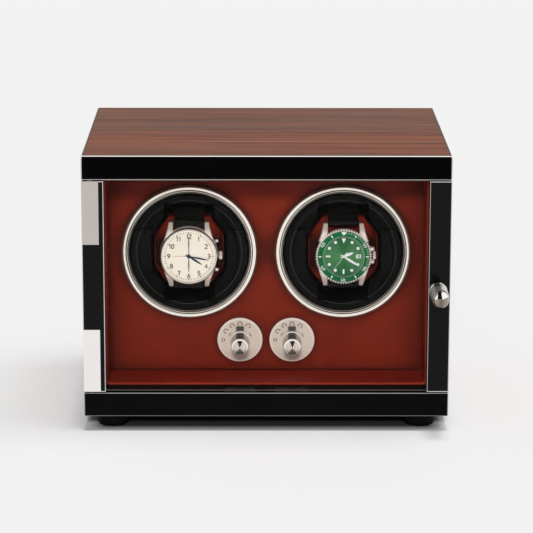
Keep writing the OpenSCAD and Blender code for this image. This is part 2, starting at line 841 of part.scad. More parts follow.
module door_screws() {
    color(steel_tone) in_cabinet() {
        for (z = tongue_z0s) {
            translate([pivot_x, door_t, z + tongue_len / 2]) rotate([0, 0, 180])
                screw_y(hinge_screw_r, hinge_screw_head_r, door_t - 2);
        }
        translate([knob_x, 0, knob_z]) {
            rod_y(knob_screw_head_r, door_t - screw_head_t, door_t);
            rod_y(knob_screw_r, -knob_screw_in_knob + fixed_fit, door_t - screw_head_t + cut);
        }
    }
}

// The knob's turned stem, as shares of its end's radius and of its reach
knob_stem = [
    [1.1, 0], [1.1, 0.04], [1.02, 0.06], [0.84, 0.08], [0.8, 0.11],
    [0.9, 0.135], [0.98, 0.165], [0.98, 0.2], [0.9, 0.23], [0.8, 0.255],
    [0.8, 0.275], [0.92, 0.3], [1, 0.33], [1, 0.37], [0.92, 0.4], [0.8, 0.425],
    [0.8, 0.445], [0.92, 0.47], [1, 0.5], [1, 0.54], [0.92, 0.565], [0.83, 0.585],
    [0.83, 0.6], [0.95, 0.62], [1, 0.65]
];

module door_knob() {
    e = knob_end_r;
    n = knob_reach;
    stem = [for (p = knob_stem) [p[0] * e, p[1] * n]];
    color(chrome_tone) in_cabinet() translate([knob_x, 0, knob_z]) difference() {
        rotate([90, 0, 0]) rotate_extrude() {
            polygon(concat([[0, 0]], stem, [[e, n - e], [0, n - e]]));
            intersection() {
                translate([0, n - e]) circle(e);
                square([e, n]);
            }
        }
        rod_y(knob_screw_r + fixed_fit, -knob_screw_in_knob, cut);
    }
}

// The mouth, or the pillow's front in it: straight at the sides, then slanted to the slots for the strap
module mouth_outline(gap, end_z) {
    w = mouth_half_w - gap;
    s = slot_w / 2 - gap;
    side_z = mouth_side_z - corner_drop * gap;
    corner_z = mouth_corner_z - corner_drop * gap;
    polygon([
        [w, -side_z], [w, side_z], [s, corner_z], [s, end_z], [-s, end_z], [-s, corner_z],
        [-w, side_z], [-w, -side_z], [-s, -corner_z], [-s, -end_z], [s, -end_z], [s, -corner_z]
    ]);
}

module cup_arms(fit) {
    x0 = pillow_w / 2 + loose_fit;
    for (sx = [0, 1]) {
        mirror([sx, 0, 0]) translate([x0 - fit, arm_y, -arm_h / 2 - fit])
            cube([arm_t + 2 * fit, cup_floor_y - arm_y + cut, arm_h + 2 * fit]);
    }
}

// The glossy ears of the pillow clip, split by a slot, on both sides of the mouth
module clip_ears() {
    out_r = cup_r - 1;
    slot_r = mouth_half_w + ear_in_w + 1.4;
    intersection() {
        difference() {
            rod_y(out_r, cup_y - ear_proud, mouth_y + cut);
            translate([-mouth_half_w, cup_y - ear_proud - cut, -ear_h])
                cube([2 * mouth_half_w, ear_proud + mouth_drop + 4 * cut, 2 * ear_h]);
            difference() {
                rod_y(slot_r + ear_slot, cup_y - ear_proud - cut, mouth_y - 0.6);
                rod_y(slot_r, cup_y - ear_proud - 2 * cut, mouth_y);
            }
        }
        translate([0, cup_y, 0]) rotate([90, 0, 0]) linear_extrude(cup_depth, center = true)
            round_rect(2 * (cup_r + ear_round), ear_h, ear_round);
    }
}

module rotor_cup(side) {
    color(black) at_rotor(side) difference() {
        union() {
            turned_y([
                [cup_r - lip_w, cup_y], [cup_r - 0.5, cup_y], [cup_r, cup_y + 0.5], [cup_r, cup_back_y],
                [hub_r, cup_back_y], [hub_r, hub_back_y], [0, hub_back_y], [0, cup_floor_y],
                [cup_r - cup_wall, cup_floor_y], [cup_r - cup_wall, mouth_y + mouth_t],
                [cup_r - lip_w, mouth_y + mouth_t]
            ]);
            rod_y(cup_r - cup_wall / 2, mouth_y, mouth_y + mouth_t);
            clip_ears();
            cup_arms(0);
        }
        translate([0, mouth_y + mouth_t + cut, 0]) rotate([90, 0, 0])
            linear_extrude(mouth_t + mouth_drop + ear_proud + 2 * cut) mouth_outline(0, slot_reach);
        rod_y(spindle_r + fixed_fit, cup_floor_y - cut, hub_back_y + cut);
    }
}

module cup_lining(side) {
    r = cup_r - cup_wall - 0.1;
    color(leather_red) at_rotor(side) difference() {
        turned_y([
            [0, lining_y], [r - lining_t, lining_y], [r - lining_t, mouth_y + mouth_t + 2],
            [r, mouth_y + mouth_t + 2], [r, cup_floor_y], [0, cup_floor_y]
        ]);
        cup_arms(0.1);
    }
}

module pillow(side) {
    color(leather_red) at_rotor(side) translate([0, pillow_y + pillow_d / 2, 0]) intersection() {
        translate([-pillow_w / 2, 0, 0]) rotate([90, 0, 90]) linear_extrude(pillow_w)
            round_rect(pillow_d, pillow_h, pillow_round);
        rotate([90, 0, 0]) linear_extrude(pillow_d, center = true) mouth_outline(mouth_gap, pillow_h / 2);
    }
}

// The strap runs round the pillow, and each end is rolled round a spring bar between the lugs
module watch_strap(side, case_dia) {
    roll_r = bar_r + bar_wall;
    end_z = bar_z(case_dia);
    d = pillow_d + strap_t;
    h = pillow_h + 2 * strap_t;
    color(black) at_rotor(side) difference() {
        union() {
            difference() {
                translate([-strap_w / 2, strap_front_y + d / 2, 0])
                    rotate([90, 0, 90]) linear_extrude(strap_w)
                    intersection() {
                        round_rect(d, h, pillow_round + strap_t);
                        translate([-d / 2, -h / 2]) square([d / 2 + strap_run, h]);
                    }
                translate([-strap_w, strap_front_y - cut, -end_z])
                    cube([2 * strap_w, pillow_round, 2 * end_z]);
            }
            for (sz = [-1, 1]) {
                translate([-strap_w / 2, bar_y, sz * end_z]) rotate([0, 90, 0])
                    cylinder(r = roll_r, h = strap_w);
                translate([-strap_w / 2, bar_y, sz * end_z - roll_r])
                    cube([strap_w, pillow_y + pillow_round / 2 - bar_y, 2 * roll_r]);
            }
        }
        translate([-pillow_w, pillow_y + pillow_d / 2, 0]) rotate([90, 0, 90]) linear_extrude(2 * pillow_w)
            round_rect(pillow_d + 2 * fixed_fit, pillow_h + 2 * fixed_fit, pillow_round + fixed_fit);
        for (sz = [-1, 1]) {
            translate([-strap_w, bar_y, sz * end_z]) rotate([0, 90, 0])
                cylinder(r = bar_r + fixed_fit, h = 2 * strap_w);
        }
    }
}

module lugs(case_dia) {
    reach = case_dia / 2 + lug_reach;
    for (sx = [-1, 1]) {
        translate([sx * (strap_w / 2 + lug_w / 2 + 0.1) - lug_w / 2, case_back_y - lug_depth, -reach])
            cube([lug_w, lug_depth, 2 * reach]);
    }
    for (sz = [-1, 1]) {
        translate([-strap_w / 2 - 1, bar_y, sz * bar_z(case_dia)]) rotate([0, 90, 0])
            cylinder(r = bar_r, h = strap_w + 2);
    }
}

module watch_case(side, case_dia, buttons) {
    r = case_dia / 2;
    color(steel_tone) at_rotor(side) {
        difference() {
            union() {
                turned_y([
                    [0, case_back_y], [r - 3, case_back_y], [r, case_back_y - 2], [r, case_y + 2.4],
                    [r - 0.8, case_y + 0.8], [r - 1.4, case_y], [0, case_y]
                ]);
                lugs(case_dia);
                translate([0, case_back_y - 5, 0]) rotate([0, 90, 0])
                    cylinder(r = crown_r, h = r + crown_len);
                if (buttons) {
                    for (a = [28, -28]) {
                        translate([0, case_back_y - 5, 0]) rotate([0, 90 - a, 0])
                            cylinder(r = button_r, h = r + button_len);
                    }
                }
            }
            rod_y(r - case_bezel_w, case_y - cut, case_y + dial_drop + dial_t);
        }
    }
}

module watch_dial(side, case_dia) {
    color([0.9, 0.87, 0.8]) at_rotor(side)
        rod_y(case_dia / 2 - case_bezel_w - 0.05, case_y + dial_drop, case_y + dial_drop + dial_t);
}

module selector_knob(side) {
    c = dial_collar_dia / 2;
    b = dial_body_dia / 2;
    neck_y = dial_base_y - collar_len;
    face_y = dial_y + cone_drop;
    color(steel_tone) at_selector(side) difference() {
        union() {
            turned_y([
                [0, dial_base_y], [c - 0.4, dial_base_y], [c, dial_base_y - 0.4], [c, neck_y + 1],
                [c - 0.8, neck_y], [b - 0.9, neck_y], [b - 0.9, neck_y - groove_w],
                [b, neck_y - groove_w - 0.4],
                [b, face_y + 0.6], [b - 0.6, face_y], [0, dial_y]
            ]);
            rod_y(dial_spindle_r, dial_base_y - cut, fascia_back_y + dial_spindle_in);
        }
        translate([-0.4, neck_y - cut, c - 0.7]) cube([0.8, collar_len, cut]);
    }
}

base_slab();
top_slab();
top_veneer();
side_panel(-1);  // side_panel_left
side_panel(1);  // side_panel_right
back_panel();
back_screws();
feet();
foot_screws();
flat_liner(inner_z0);  // floor_liner
flat_liner(inner_z1 - liner_t);  // ceiling_liner
side_liners();
fascia_panel();
bezel(-1);  // bezel_left
bezel(1);  // bezel_right
selector_plate(-1);  // selector_plate_left
selector_plate(1);  // selector_plate_right
drive_plate();
drive_spacers();
spindle_bearings();
motor(-1);  // motor_left
motor(1);  // motor_right
drive_belts();
switch_body(-1);  // switch_left
switch_body(1);  // switch_right
control_board();
board_standoffs();
power_inlet();
rocker_frame();
catch_magnet();
hinge_bushings();
door_stile_left();
door_stile_right();
door_glass();
hinge_block(hinge_z0s[1], tongue_z0s[1], door_z1 - pin_in_block);  // hinge_block_upper
hinge_block(hinge_z0s[0], tongue_z0s[0], door_z0 - cut);  // hinge_block_lower
hinge_pins();
door_screws();
door_knob();
strike_plate();
rotor_cup(-1);  // rotor_cup_left
rotor_cup(1);  // rotor_cup_right
cup_lining(-1);  // cup_lining_left
cup_lining(1);  // cup_lining_right
rotor_pulley(-1);  // rotor_pulley_left
rotor_pulley(1);  // rotor_pulley_right
pillow(-1);  // pillow_left
pillow(1);  // pillow_right
watch_strap(-1, left_case_dia);  // watch_strap_left
watch_strap(1, right_case_dia);  // watch_strap_right
watch_case(-1, left_case_dia, true);  // watch_case_left
watch_case(1, right_case_dia, false);  // watch_case_right
watch_dial(-1, left_case_dia);  // watch_dial_left
watch_dial(1, right_case_dia);  // watch_dial_right
motor_pulley(-1);  // motor_pulley_left
motor_pulley(1);  // motor_pulley_right
selector_knob(-1);  // selector_knob_left
selector_knob(1);  // selector_knob_right
rocker();
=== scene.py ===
import bpy
import bmesh
import math
import numpy as np
from mathutils import Matrix, Vector
from mathutils.bvhtree import BVHTree


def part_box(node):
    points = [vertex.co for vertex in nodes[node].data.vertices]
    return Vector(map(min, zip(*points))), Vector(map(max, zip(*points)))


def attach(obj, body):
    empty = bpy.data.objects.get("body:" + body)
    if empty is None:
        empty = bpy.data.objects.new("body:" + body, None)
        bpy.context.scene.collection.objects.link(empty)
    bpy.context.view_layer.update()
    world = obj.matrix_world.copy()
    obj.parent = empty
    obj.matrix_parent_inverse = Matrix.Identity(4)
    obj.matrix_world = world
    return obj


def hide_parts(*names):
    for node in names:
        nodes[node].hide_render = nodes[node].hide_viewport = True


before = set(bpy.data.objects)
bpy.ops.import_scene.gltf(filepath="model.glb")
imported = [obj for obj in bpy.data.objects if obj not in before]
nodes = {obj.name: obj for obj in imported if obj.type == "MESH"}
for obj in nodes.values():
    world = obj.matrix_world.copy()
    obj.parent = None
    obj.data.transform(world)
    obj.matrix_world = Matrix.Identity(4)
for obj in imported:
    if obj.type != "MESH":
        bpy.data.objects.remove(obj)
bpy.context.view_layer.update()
mm = 0.001
print("frame loaded")

# Where things are, read from the frame
slabLow, slabHigh = [np.array(c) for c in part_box("base_slab")]
topHigh = np.array(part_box("top_slab")[1])
frontY = slabLow[1]
baseZ = slabLow[2]
sides = {"left": -1, "right": 1}


def nodeBox(name):
    low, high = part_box(name)
    return np.array(low), np.array(high)


def middle(name):
    low, high = nodeBox(name)
    return (low + high) / 2


cameraPlace = {"at": (-9.4, -1735.0, 519.0), "pitch": 13.26, "yaw": 0.31, "roll": 0.11, "focal": 2528.0}
imageSize = 533
sensorWidth = 36.0


def makeCamera():
    p = cameraPlace
    pitch, yaw, roll = (math.radians(p[k]) for k in ("pitch", "yaw", "roll"))
    at = Vector(p["at"]) * mm + Vector((0, frontY, baseZ))
    ahead = Vector((math.sin(yaw) * math.cos(pitch), math.cos(yaw) * math.cos(pitch), -math.sin(pitch)))
    right = ahead.cross(Vector((0, 0, 1))).normalized()
    up = right.cross(ahead)
    turnedRight = right * math.cos(roll) + up * math.sin(roll)
    turnedUp = up * math.cos(roll) - right * math.sin(roll)
    data = bpy.data.cameras.new("camera")
    data.sensor_width = sensorWidth
    data.lens = p["focal"] / imageSize * sensorWidth
    data.clip_start = 0.05
    data.clip_end = 50
    camera = bpy.data.objects.new("camera", data)
    axes = Matrix((turnedRight, turnedUp, -ahead)).transposed().to_4x4()
    camera.matrix_world = Matrix.Translation(at) @ axes
    bpy.context.scene.collection.objects.link(camera)
    bpy.context.scene.camera = camera


makeCamera()
print("camera made")


def addNode(tree, kind, **settings):
    made = tree.nodes.new(kind)
    for key, value in settings.items():
        if hasattr(made, key):
            setattr(made, key, value)
        else:
            made.inputs[key].default_value = value
    return made


def wire(tree, source, target):
    tree.links.new(source, target)


def mathNode(tree, operation, a, b=None, clamp=False):
    made = tree.nodes.new("ShaderNodeMath")
    made.operation = operation
    made.use_clamp = clamp
    for index, value in enumerate((a, b)):
        if value is None:
            continue
        if isinstance(value, (int, float)):
            made.inputs[index].default_value = value
        else:
            tree.links.new(value, made.inputs[index])
    return made.outputs[0]


def plus(tree, a, b):
    return mathNode(tree, "ADD", a, b)


def minus(tree, a, b):
    return mathNode(tree, "SUBTRACT", a, b)


def times(tree, a, b):
    return mathNode(tree, "MULTIPLY", a, b)


def over(tree, a, b):
    return mathNode(tree, "DIVIDE", a, b)


def larger(tree, a, b):
    return mathNode(tree, "MAXIMUM", a, b)


def smaller(tree, a, b):
    return mathNode(tree, "MINIMUM", a, b)


def absolute(tree, a):
    return mathNode(tree, "ABSOLUTE", a)


def parted(tree, vector):
    made = tree.nodes.new("ShaderNodeSeparateXYZ")
    tree.links.new(vector, made.inputs[0])
    return made.outputs


def mixColour(tree, factor, a, b):
    made = tree.nodes.new("ShaderNodeMix")
    made.data_type = "RGBA"
    for socket, value in ((made.inputs[0], factor), (made.inputs[6], a), (made.inputs[7], b)):
        if isinstance(value, (int, float)):
            socket.default_value = value
        elif isinstance(value, (tuple, list)):
            socket.default_value = (*value[:3], 1.0)
        else:
            tree.links.new(value, socket)
    return made.outputs[2]


def mapRange(tree, value, fromLow, fromHigh, toLow=0.0, toHigh=1.0):
    made = tree.nodes.new("ShaderNodeMapRange")
    for index, number in enumerate((fromLow, fromHigh, toLow, toHigh)):
        made.inputs[index + 1].default_value = number
    tree.links.new(value, made.inputs[0])
    return made.outputs[0]


def noise(tree, vector, scale, detail, roughness=0.5, distortion=0.0):
    made = tree.nodes.new("ShaderNodeTexNoise")
    made.inputs["Scale"].default_value = scale
    made.inputs["Detail"].default_value = detail
    made.inputs["Roughness"].default_value = roughness
    made.inputs["Distortion"].default_value = distortion
    tree.links.new(vector, made.inputs["Vector"])
    return made.outputs["Fac"]


def scaled(tree, vector, scale, shift=(0, 0, 0)):
    made = tree.nodes.new("ShaderNodeMapping")
    made.inputs["Scale"].default_value = scale
    made.inputs["Location"].default_value = shift
    tree.links.new(vector, made.inputs["Vector"])
    return made.outputs[0]


def newGroup(name, inputs, outputs):
    group = bpy.data.node_groups.new(name, "ShaderNodeTree")
    for label, kind, value in inputs:
        socket = group.interface.new_socket(name=label, in_out="INPUT", socket_type=kind)
        if value is not None:
            socket.default_value = value
    for label, kind in outputs:
        group.interface.new_socket(name=label, in_out="OUTPUT", socket_type=kind)
    start = group.nodes.new("NodeGroupInput")
    end = group.nodes.new("NodeGroupOutput")
    return group, start, end


def useGroup(tree, group, vector, **values):
    made = tree.nodes.new("ShaderNodeGroup")
    made.node_tree = group
    tree.links.new(vector, made.inputs["Vector"])
    for key, value in values.items():
        made.inputs[key].default_value = value
    return made


def makeEdgeGroup():
    # 1 along the edges of the box from Low to High, where two of its faces are within Width
    group, start, end = newGroup(
        "boxEdges",
        [("Vector", "NodeSocketVector", None), ("Low", "NodeSocketVector", (0, 0, 0)),
         ("High", "NodeSocketVector", (1, 1, 1)), ("Width", "NodeSocketFloat", 0.001)],
        [("Mask", "NodeSocketFloat")])
    parts = []
    for corner in ("Low", "High"):
        gap = addNode(group, "ShaderNodeVectorMath", operation="SUBTRACT")
        wire(group, start.outputs["Vector"], gap.inputs[0])
        wire(group, start.outputs[corner], gap.inputs[1])
        size = addNode(group, "ShaderNodeVectorMath", operation="ABSOLUTE")
        wire(group, gap.outputs[0], size.inputs[0])
        parts.append(size.outputs[0])
    nearest = addNode(group, "ShaderNodeVectorMath", operation="MINIMUM")
    wire(group, parts[0], nearest.inputs[0])
    wire(group, parts[1], nearest.inputs[1])
    split = parted(group, nearest.outputs[0])
    x, y, z = split
    lowest = smaller(group, smaller(group, x, y), z)
    highest = larger(group, larger(group, x, y), z)
    total = plus(group, plus(group, x, y), z)
    second = minus(group, minus(group, total, lowest), highest)
    ratio = over(group, second, start.outputs["Width"])
    mask = minus(group, 1.0, mapRange(group, ratio, 0.55, 1.0))
    wire(group, mask, end.inputs["Mask"])
    return group


leatherGrain = {"pebble": 950, "fine": 2600, "fold": 120, "broad": 22, "wear": 60}


def makeLeatherGroup():
    # Height: pebbled cells with fine creases. Tint: broad and fine variation. Gloss: worn patches
    group, start, end = newGroup(
        "leatherGrain",
        [("Vector", "NodeSocketVector", None), ("Scale", "NodeSocketFloat", 1.0)],
        [("Height", "NodeSocketFloat"), ("Tint", "NodeSocketFloat"), ("Gloss", "NodeSocketFloat")])
    size = addNode(group, "ShaderNodeVectorMath", operation="SCALE")
    wire(group, start.outputs["Vector"], size.inputs[0])
    wire(group, start.outputs["Scale"], size.inputs["Scale"])
    place = size.outputs[0]
    cells = addNode(group, "ShaderNodeTexVoronoi", feature="DISTANCE_TO_EDGE")
    cells.inputs["Scale"].default_value = leatherGrain["pebble"]
    cells.inputs["Randomness"].default_value = 1.0
    wire(group, place, cells.inputs["Vector"])
    pebble = mapRange(group, cells.outputs["Distance"], 0.0, 0.25)
    fine = noise(group, place, leatherGrain["fine"], 4.0, 0.6)
    fold = noise(group, place, leatherGrain["fold"], 5.0, 0.62, 1.2)
    height = plus(group, times(group, pebble, 0.6), times(group, fine, 0.4))
    height = plus(group, height, times(group, fold, 1.4))
    wire(group, height, end.inputs["Height"])
    broad = noise(group, place, leatherGrain["broad"], 3.0, 0.55)
    tint = plus(group, times(group, broad, 0.6), times(group, fold, 0.25))
    tint = plus(group, tint, times(group, pebble, 0.15))
    wire(group, tint, end.inputs["Tint"])
    wire(group, noise(group, place, leatherGrain["wear"], 4.0, 0.6), end.inputs["Gloss"])
    return group


woodGrain = {"warp": (3, 16, 16), "bend": 0.008, "streak": (7, 330, 330), "pore": (60, 2400, 2400),
             "band": (2.2, 34, 34), "line": (2.5, 420, 420)}


def makeWoodGroup():
    # Grain runs along X: long streaks from stretched noise, fine pores, and slow bands of colour
    group, start, end = newGroup(
        "woodGrain",
        [("Vector", "NodeSocketVector", None)],
        [("Streak", "NodeSocketFloat"), ("Pore", "NodeSocketFloat"), ("Band", "NodeSocketFloat"),
         ("Line", "NodeSocketFloat")])
    place = start.outputs["Vector"]
    warp = noise(group, scaled(group, place, woodGrain["warp"]), 1.0, 3.0, 0.5)
    bent = addNode(group, "ShaderNodeVectorMath", operation="ADD")
    wire(group, place, bent.inputs[0])
    lift = addNode(group, "ShaderNodeCombineXYZ")
    offset = times(group, minus(group, warp, 0.5), woodGrain["bend"])
    wire(group, offset, lift.inputs[1])
    wire(group, offset, lift.inputs[2])
    wire(group, lift.outputs[0], bent.inputs[1])
    streak = noise(group, scaled(group, bent.outputs[0], woodGrain["streak"]), 1.0, 6.0, 0.62)
    pore = noise(group, scaled(group, bent.outputs[0], woodGrain["pore"]), 1.0, 3.0, 0.6)
    band = noise(group, scaled(group, bent.outputs[0], woodGrain["band"]), 1.0, 4.0, 0.55)
    wire(group, streak, end.inputs["Streak"])
    wire(group, pore, end.inputs["Pore"])
    wire(group, band, end.inputs["Band"])
    wire(group, noise(group, scaled(group, bent.outputs[0], woodGrain["line"], (5, 2, 7)), 1.0, 2.0, 0.5),
         end.inputs["Line"])
    return group


def makeBrushGroup():
    # Turned about an axis along Y through Centre: rings of fine scratches, and fans of light by angle
    group, start, end = newGroup(
        "turnedBrush",
        [("Vector", "NodeSocketVector", None), ("Centre", "NodeSocketVector", (0, 0, 0))],
        [("Scratch", "NodeSocketFloat"), ("Fan", "NodeSocketFloat"), ("Radius", "NodeSocketFloat")])
    gap = addNode(group, "ShaderNodeVectorMath", operation="SUBTRACT")
    wire(group, start.outputs["Vector"], gap.inputs[0])
    wire(group, start.outputs["Centre"], gap.inputs[1])
    split = parted(group, gap.outputs[0])
    x, y, z = split
    radius = mathNode(group, "SQRT", plus(group, times(group, x, x), times(group, z, z)))
    angle = mathNode(group, "ARCTAN2", z, x)
    join = addNode(group, "ShaderNodeCombineXYZ")
    wire(group, radius, join.inputs[0])
    wire(group, y, join.inputs[1])
    scratch = noise(group, join.outputs[0], 6000, 4.0, 0.7)
    fan = absolute(group, mathNode(group, "SINE", angle))
    wire(group, scratch, end.inputs["Scratch"])
    wire(group, mathNode(group, "POWER", fan, 3.0), end.inputs["Fan"])
    wire(group, radius, end.inputs["Radius"])
    return group


def makeDustGroup():
    # Fine dust and faint wipe marks on hard surfaces
    group, start, end = newGroup(
        "surfaceDust", [("Vector", "NodeSocketVector", None)],
        [("Dust", "NodeSocketFloat"), ("Smear", "NodeSocketFloat")])
    place = start.outputs["Vector"]
    specks = noise(group, place, 1800, 2.0, 0.5)
    wire(group, mapRange(group, specks, 0.72, 0.8), end.inputs["Dust"])
    wire(group, noise(group, scaled(group, place, (14, 30, 55)), 1.0, 5.0, 0.6, 0.6), end.inputs["Smear"])
    return group


edgeGroup = makeEdgeGroup()
leatherGroup = makeLeatherGroup()
woodGroup = makeWoodGroup()
brushGroup = makeBrushGroup()
dustGroup = makeDustGroup()
print("shared effects made")


def newMaterial(name, **sockets):
    material = bpy.data.materials.new(name)
    material.use_nodes = True
    tree = material.node_tree
    shader = tree.nodes["Principled BSDF"]
    for key, value in sockets.items():
        label = key.replace("_", " ")
        socket = shader.inputs[label]
        socket.default_value = (*value, 1.0) if isinstance(value, tuple) and len(value) == 3 else value
    place = tree.nodes.new("ShaderNodeTexCoord").outputs["Object"]
    return material, tree, shader, place


def bump(tree, shader, height, strength, distance):
    made = tree.nodes.new("ShaderNodeBump")
    made.inputs["Strength"].default_value = strength
    made.inputs["Distance"].default_value = distance
    tree.links.new(height, made.inputs["Height"])
    tree.links.new(made.outputs[0], shader.inputs["Normal"])


# The lacquer's edge tone is a painted highlight along every edge of each piece, whiter along the top slab's
# upper edges
lacquer = {"highlightEdges": {"top_slab": (0.8 * mm, (0.95, 0.93, 0.91))},
           "colour": (0.0012, 0.0011, 0.0011), "edge": (0.62, 0.60, 0.58), "highlightWidth": 0.6 * mm,
           "roughness": 0.09, "lift": {"base_slabLacquer": 2.6},
           "gloss": {"top_slab": 0.01, "base_slab": 0.006, "back_panel": 0.08, "door_stile_left": 0.13,
                     "door_stile_right": 0.13}}


def makeLacquer(name, low, high, gloss, highlightWidth, edge):
    material, tree, shader, place = newMaterial(name, Specular_IOR_Level=gloss)
    dust = useGroup(tree, dustGroup, place)
    edges = useGroup(tree, edgeGroup, place, Low=tuple(low), High=tuple(high),
                     Width=highlightWidth or lacquer["highlightWidth"])
    smear = dust.outputs["Smear"]
    # the base slab's black is painted lighter than the other lacquer, a painted sheen
    black = tuple(c * lacquer["lift"].get(name, 1.0) for c in lacquer["colour"])
    base = mixColour(tree, smear, black, tuple(c * 1.8 for c in black))
    base = mixColour(tree, times(tree, dust.outputs["Dust"], 0.02), base, (0.3, 0.29, 0.27))
    # painted highlight along the box's edges, whiter near the top where a tone is given
    tone = lacquer["edge"]
    if edge:
        split = parted(tree, place)
        upper = mapRange(tree, split[2], float(high[2]) - 3 * mm, float(high[2]) - 2 * mm)
        tone = mixColour(tree, upper, lacquer["edge"], edge)
    base = mixColour(tree, edges.outputs["Mask"], base, tone)
    wire(tree, base, shader.inputs["Base Color"])
    wire(tree, mapRange(tree, smear, 0.3, 0.8, lacquer["roughness"] - 0.03, lacquer["roughness"] + 0.06),
         shader.inputs["Roughness"])
    bump(tree, shader, noise(tree, place, 420, 2.0), 0.04, 0.2 * mm)
    return material


rosewood = {"dark": (0.085, 0.025, 0.012), "mid": (0.180, 0.053, 0.024), "light": (0.245, 0.077, 0.035),
            "line": (0.36, 0.105, 0.045), "backTone": (0.135, 0.060, 0.038), "joinY": 98 * mm,
            "roughness": 0.42, "patch": (0.070, 0.040, 0.030),
            "seams": ((54.5 * mm, 1.1 * mm, (0.40, 0.13, 0.055)),
                      (48.4 * mm, 1.5 * mm, (0.075, 0.030, 0.018)),
                      (126 * mm, 0.9 * mm, (0.30, 0.095, 0.045)))}


def makeRosewood(name, upright):
    # The top's grain runs across; the sides' veneer carries it on downwards
    material, tree, shader, place = newMaterial(name, Specular_IOR_Level=0.03)
    along = place
    if upright:
        turn = parted(tree, place)
        swapped = addNode(tree, "ShaderNodeCombineXYZ")
        for source, target in ((2, 0), (1, 1), (0, 2)):
            wire(tree, turn[source], swapped.inputs[target])
        along = swapped.outputs[0]
    grain = useGroup(tree, woodGroup, along)
    band, streak, pore = grain.outputs["Band"], grain.outputs["Streak"], grain.outputs["Pore"]
    base = mixColour(tree, mapRange(tree, band, 0.3, 0.7), rosewood["mid"], rosewood["light"])
    split = parted(tree, place)
    joinY = frontY + rosewood["joinY"]
    back = times(tree, mapRange(tree, split[1], joinY - 0.6 * mm, joinY + 0.6 * mm),
                 0.0 if upright else 0.72)
    base = mixColour(tree, mapRange(tree, streak, 0.31, 0.53, 0.85, 0.0), base, rosewood["dark"])
    base = mixColour(tree, back, base, rosewood["backTone"])
    patch = noise(tree, scaled(tree, along, (9, 95, 95), (2, 3, 1)), 1.0, 4.0, 0.6)
    base = mixColour(tree, mapRange(tree, patch, 0.50, 0.72, 0.0, 0.75), base, rosewood["patch"])
    fade = mapRange(tree, noise(tree, scaled(tree, along, (14, 3, 3)), 1.0, 3.0), 0.35, 0.6, 0.25, 0.85)
    for at, half, tone in ([] if upright else rosewood["seams"]):
        gap = absolute(tree, minus(tree, split[1], frontY + at))
        seam = times(tree, mapRange(tree, gap, half, half + 0.8 * mm, 1.0, 0.0), fade)
        base = mixColour(tree, seam, base, tone)
    thin = grain.outputs["Line"]
    base = mixColour(tree, mapRange(tree, thin, 0.60, 0.66, 0.0, 0.55), base, rosewood["line"])
    base = mixColour(tree, mapRange(tree, thin, 0.40, 0.345, 0.0, 0.6), base, rosewood["dark"])
    base = mixColour(tree, mapRange(tree, pore, 0.55, 0.72, 0.0, 0.6), base, rosewood["dark"])
    outsideX = float(slabHigh[0]) - 0.3 * mm
    veneered = mapRange(tree, absolute(tree, split[0]), outsideX - 0.2 * mm, outsideX)
    onTop = mapRange(tree, split[2], float(topHigh[2]) - 5 * mm, float(topHigh[2]) - 4 * mm)
    base = mixColour(tree, larger(tree, veneered, onTop), lacquer["colour"], base)
    wire(tree, base, shader.inputs["Base Color"])
    wire(tree, mapRange(tree, streak, 0.3, 0.7, rosewood["roughness"] + 0.1, rosewood["roughness"] - 0.05),
         shader.inputs["Roughness"])
    bump(tree, shader, plus(tree, streak, pore), 0.12, 0.15 * mm)
    return material


def makeLeather(name, dark, light, scale, roughness=0.46, depth=0.35, specular=0.07):
    material, tree, shader, place = newMaterial(name, Specular_IOR_Level=specular)
    grain = useGroup(tree, leatherGroup, place, Scale=scale)
    wire(tree, mixColour(tree, mapRange(tree, grain.outputs["Tint"], 0.32, 0.68), dark, light),
         shader.inputs["Base Color"])
    wire(tree, mapRange(tree, grain.outputs["Gloss"], 0.3, 0.7, roughness - 0.07, roughness + 0.08),
         shader.inputs["Roughness"])
    bump(tree, shader, grain.outputs["Height"], depth, 0.12 * mm)
    return material


def makeMetal(name, colour, roughness, wear, scratch):
    material, tree, shader, place = newMaterial(name, Metallic=1.0)
    dust = useGroup(tree, dustGroup, place)
    fine = noise(tree, place, 3500, 3.0, 0.6)
    base = mixColour(tree, mapRange(tree, fine, 0.3, 0.7), tuple(c * (1 - wear) for c in colour), colour)
    wire(tree, base, shader.inputs["Base Color"])
    wire(tree, mapRange(tree, dust.outputs["Smear"], 0.3, 0.8, roughness, roughness + wear),
         shader.inputs["Roughness"])
    bump(tree, shader, fine, scratch, 0.05 * mm)
    return material


def makeTurnedMetal(name, colour, roughness, centre, fan, depth, metallic, darkFrom):
    # The fan darkens the colour by angle as painted shade, and beyond darkFrom above or below the centre it
    # turns near black, painted shade over the lug tips
    material, tree, shader, place = newMaterial(name, Metallic=metallic, Specular_IOR_Level=0.1)
    brush = useGroup(tree, brushGroup, place, Centre=tuple(centre))
    scratch = brush.outputs["Scratch"]
    shade = mixColour(tree, mapRange(tree, scratch, 0.3, 0.7), tuple(c * 0.86 for c in colour), colour)
    shade = mixColour(tree, times(tree, brush.outputs["Fan"], fan), shade, tuple(c * 0.45 for c in colour))
    rise = absolute(tree, minus(tree, parted(tree, place)[2], float(centre[2])))
    shade = mixColour(tree, mapRange(tree, rise, darkFrom, darkFrom + 1 * mm), shade,
                      tuple(c * 0.06 for c in colour))
    wire(tree, shade, shader.inputs["Base Color"])
    wire(tree, mapRange(tree, scratch, 0.3, 0.7, roughness - 0.04, roughness + 0.06),
         shader.inputs["Roughness"])
    bump(tree, shader, scratch, depth, 0.05 * mm)
    return material


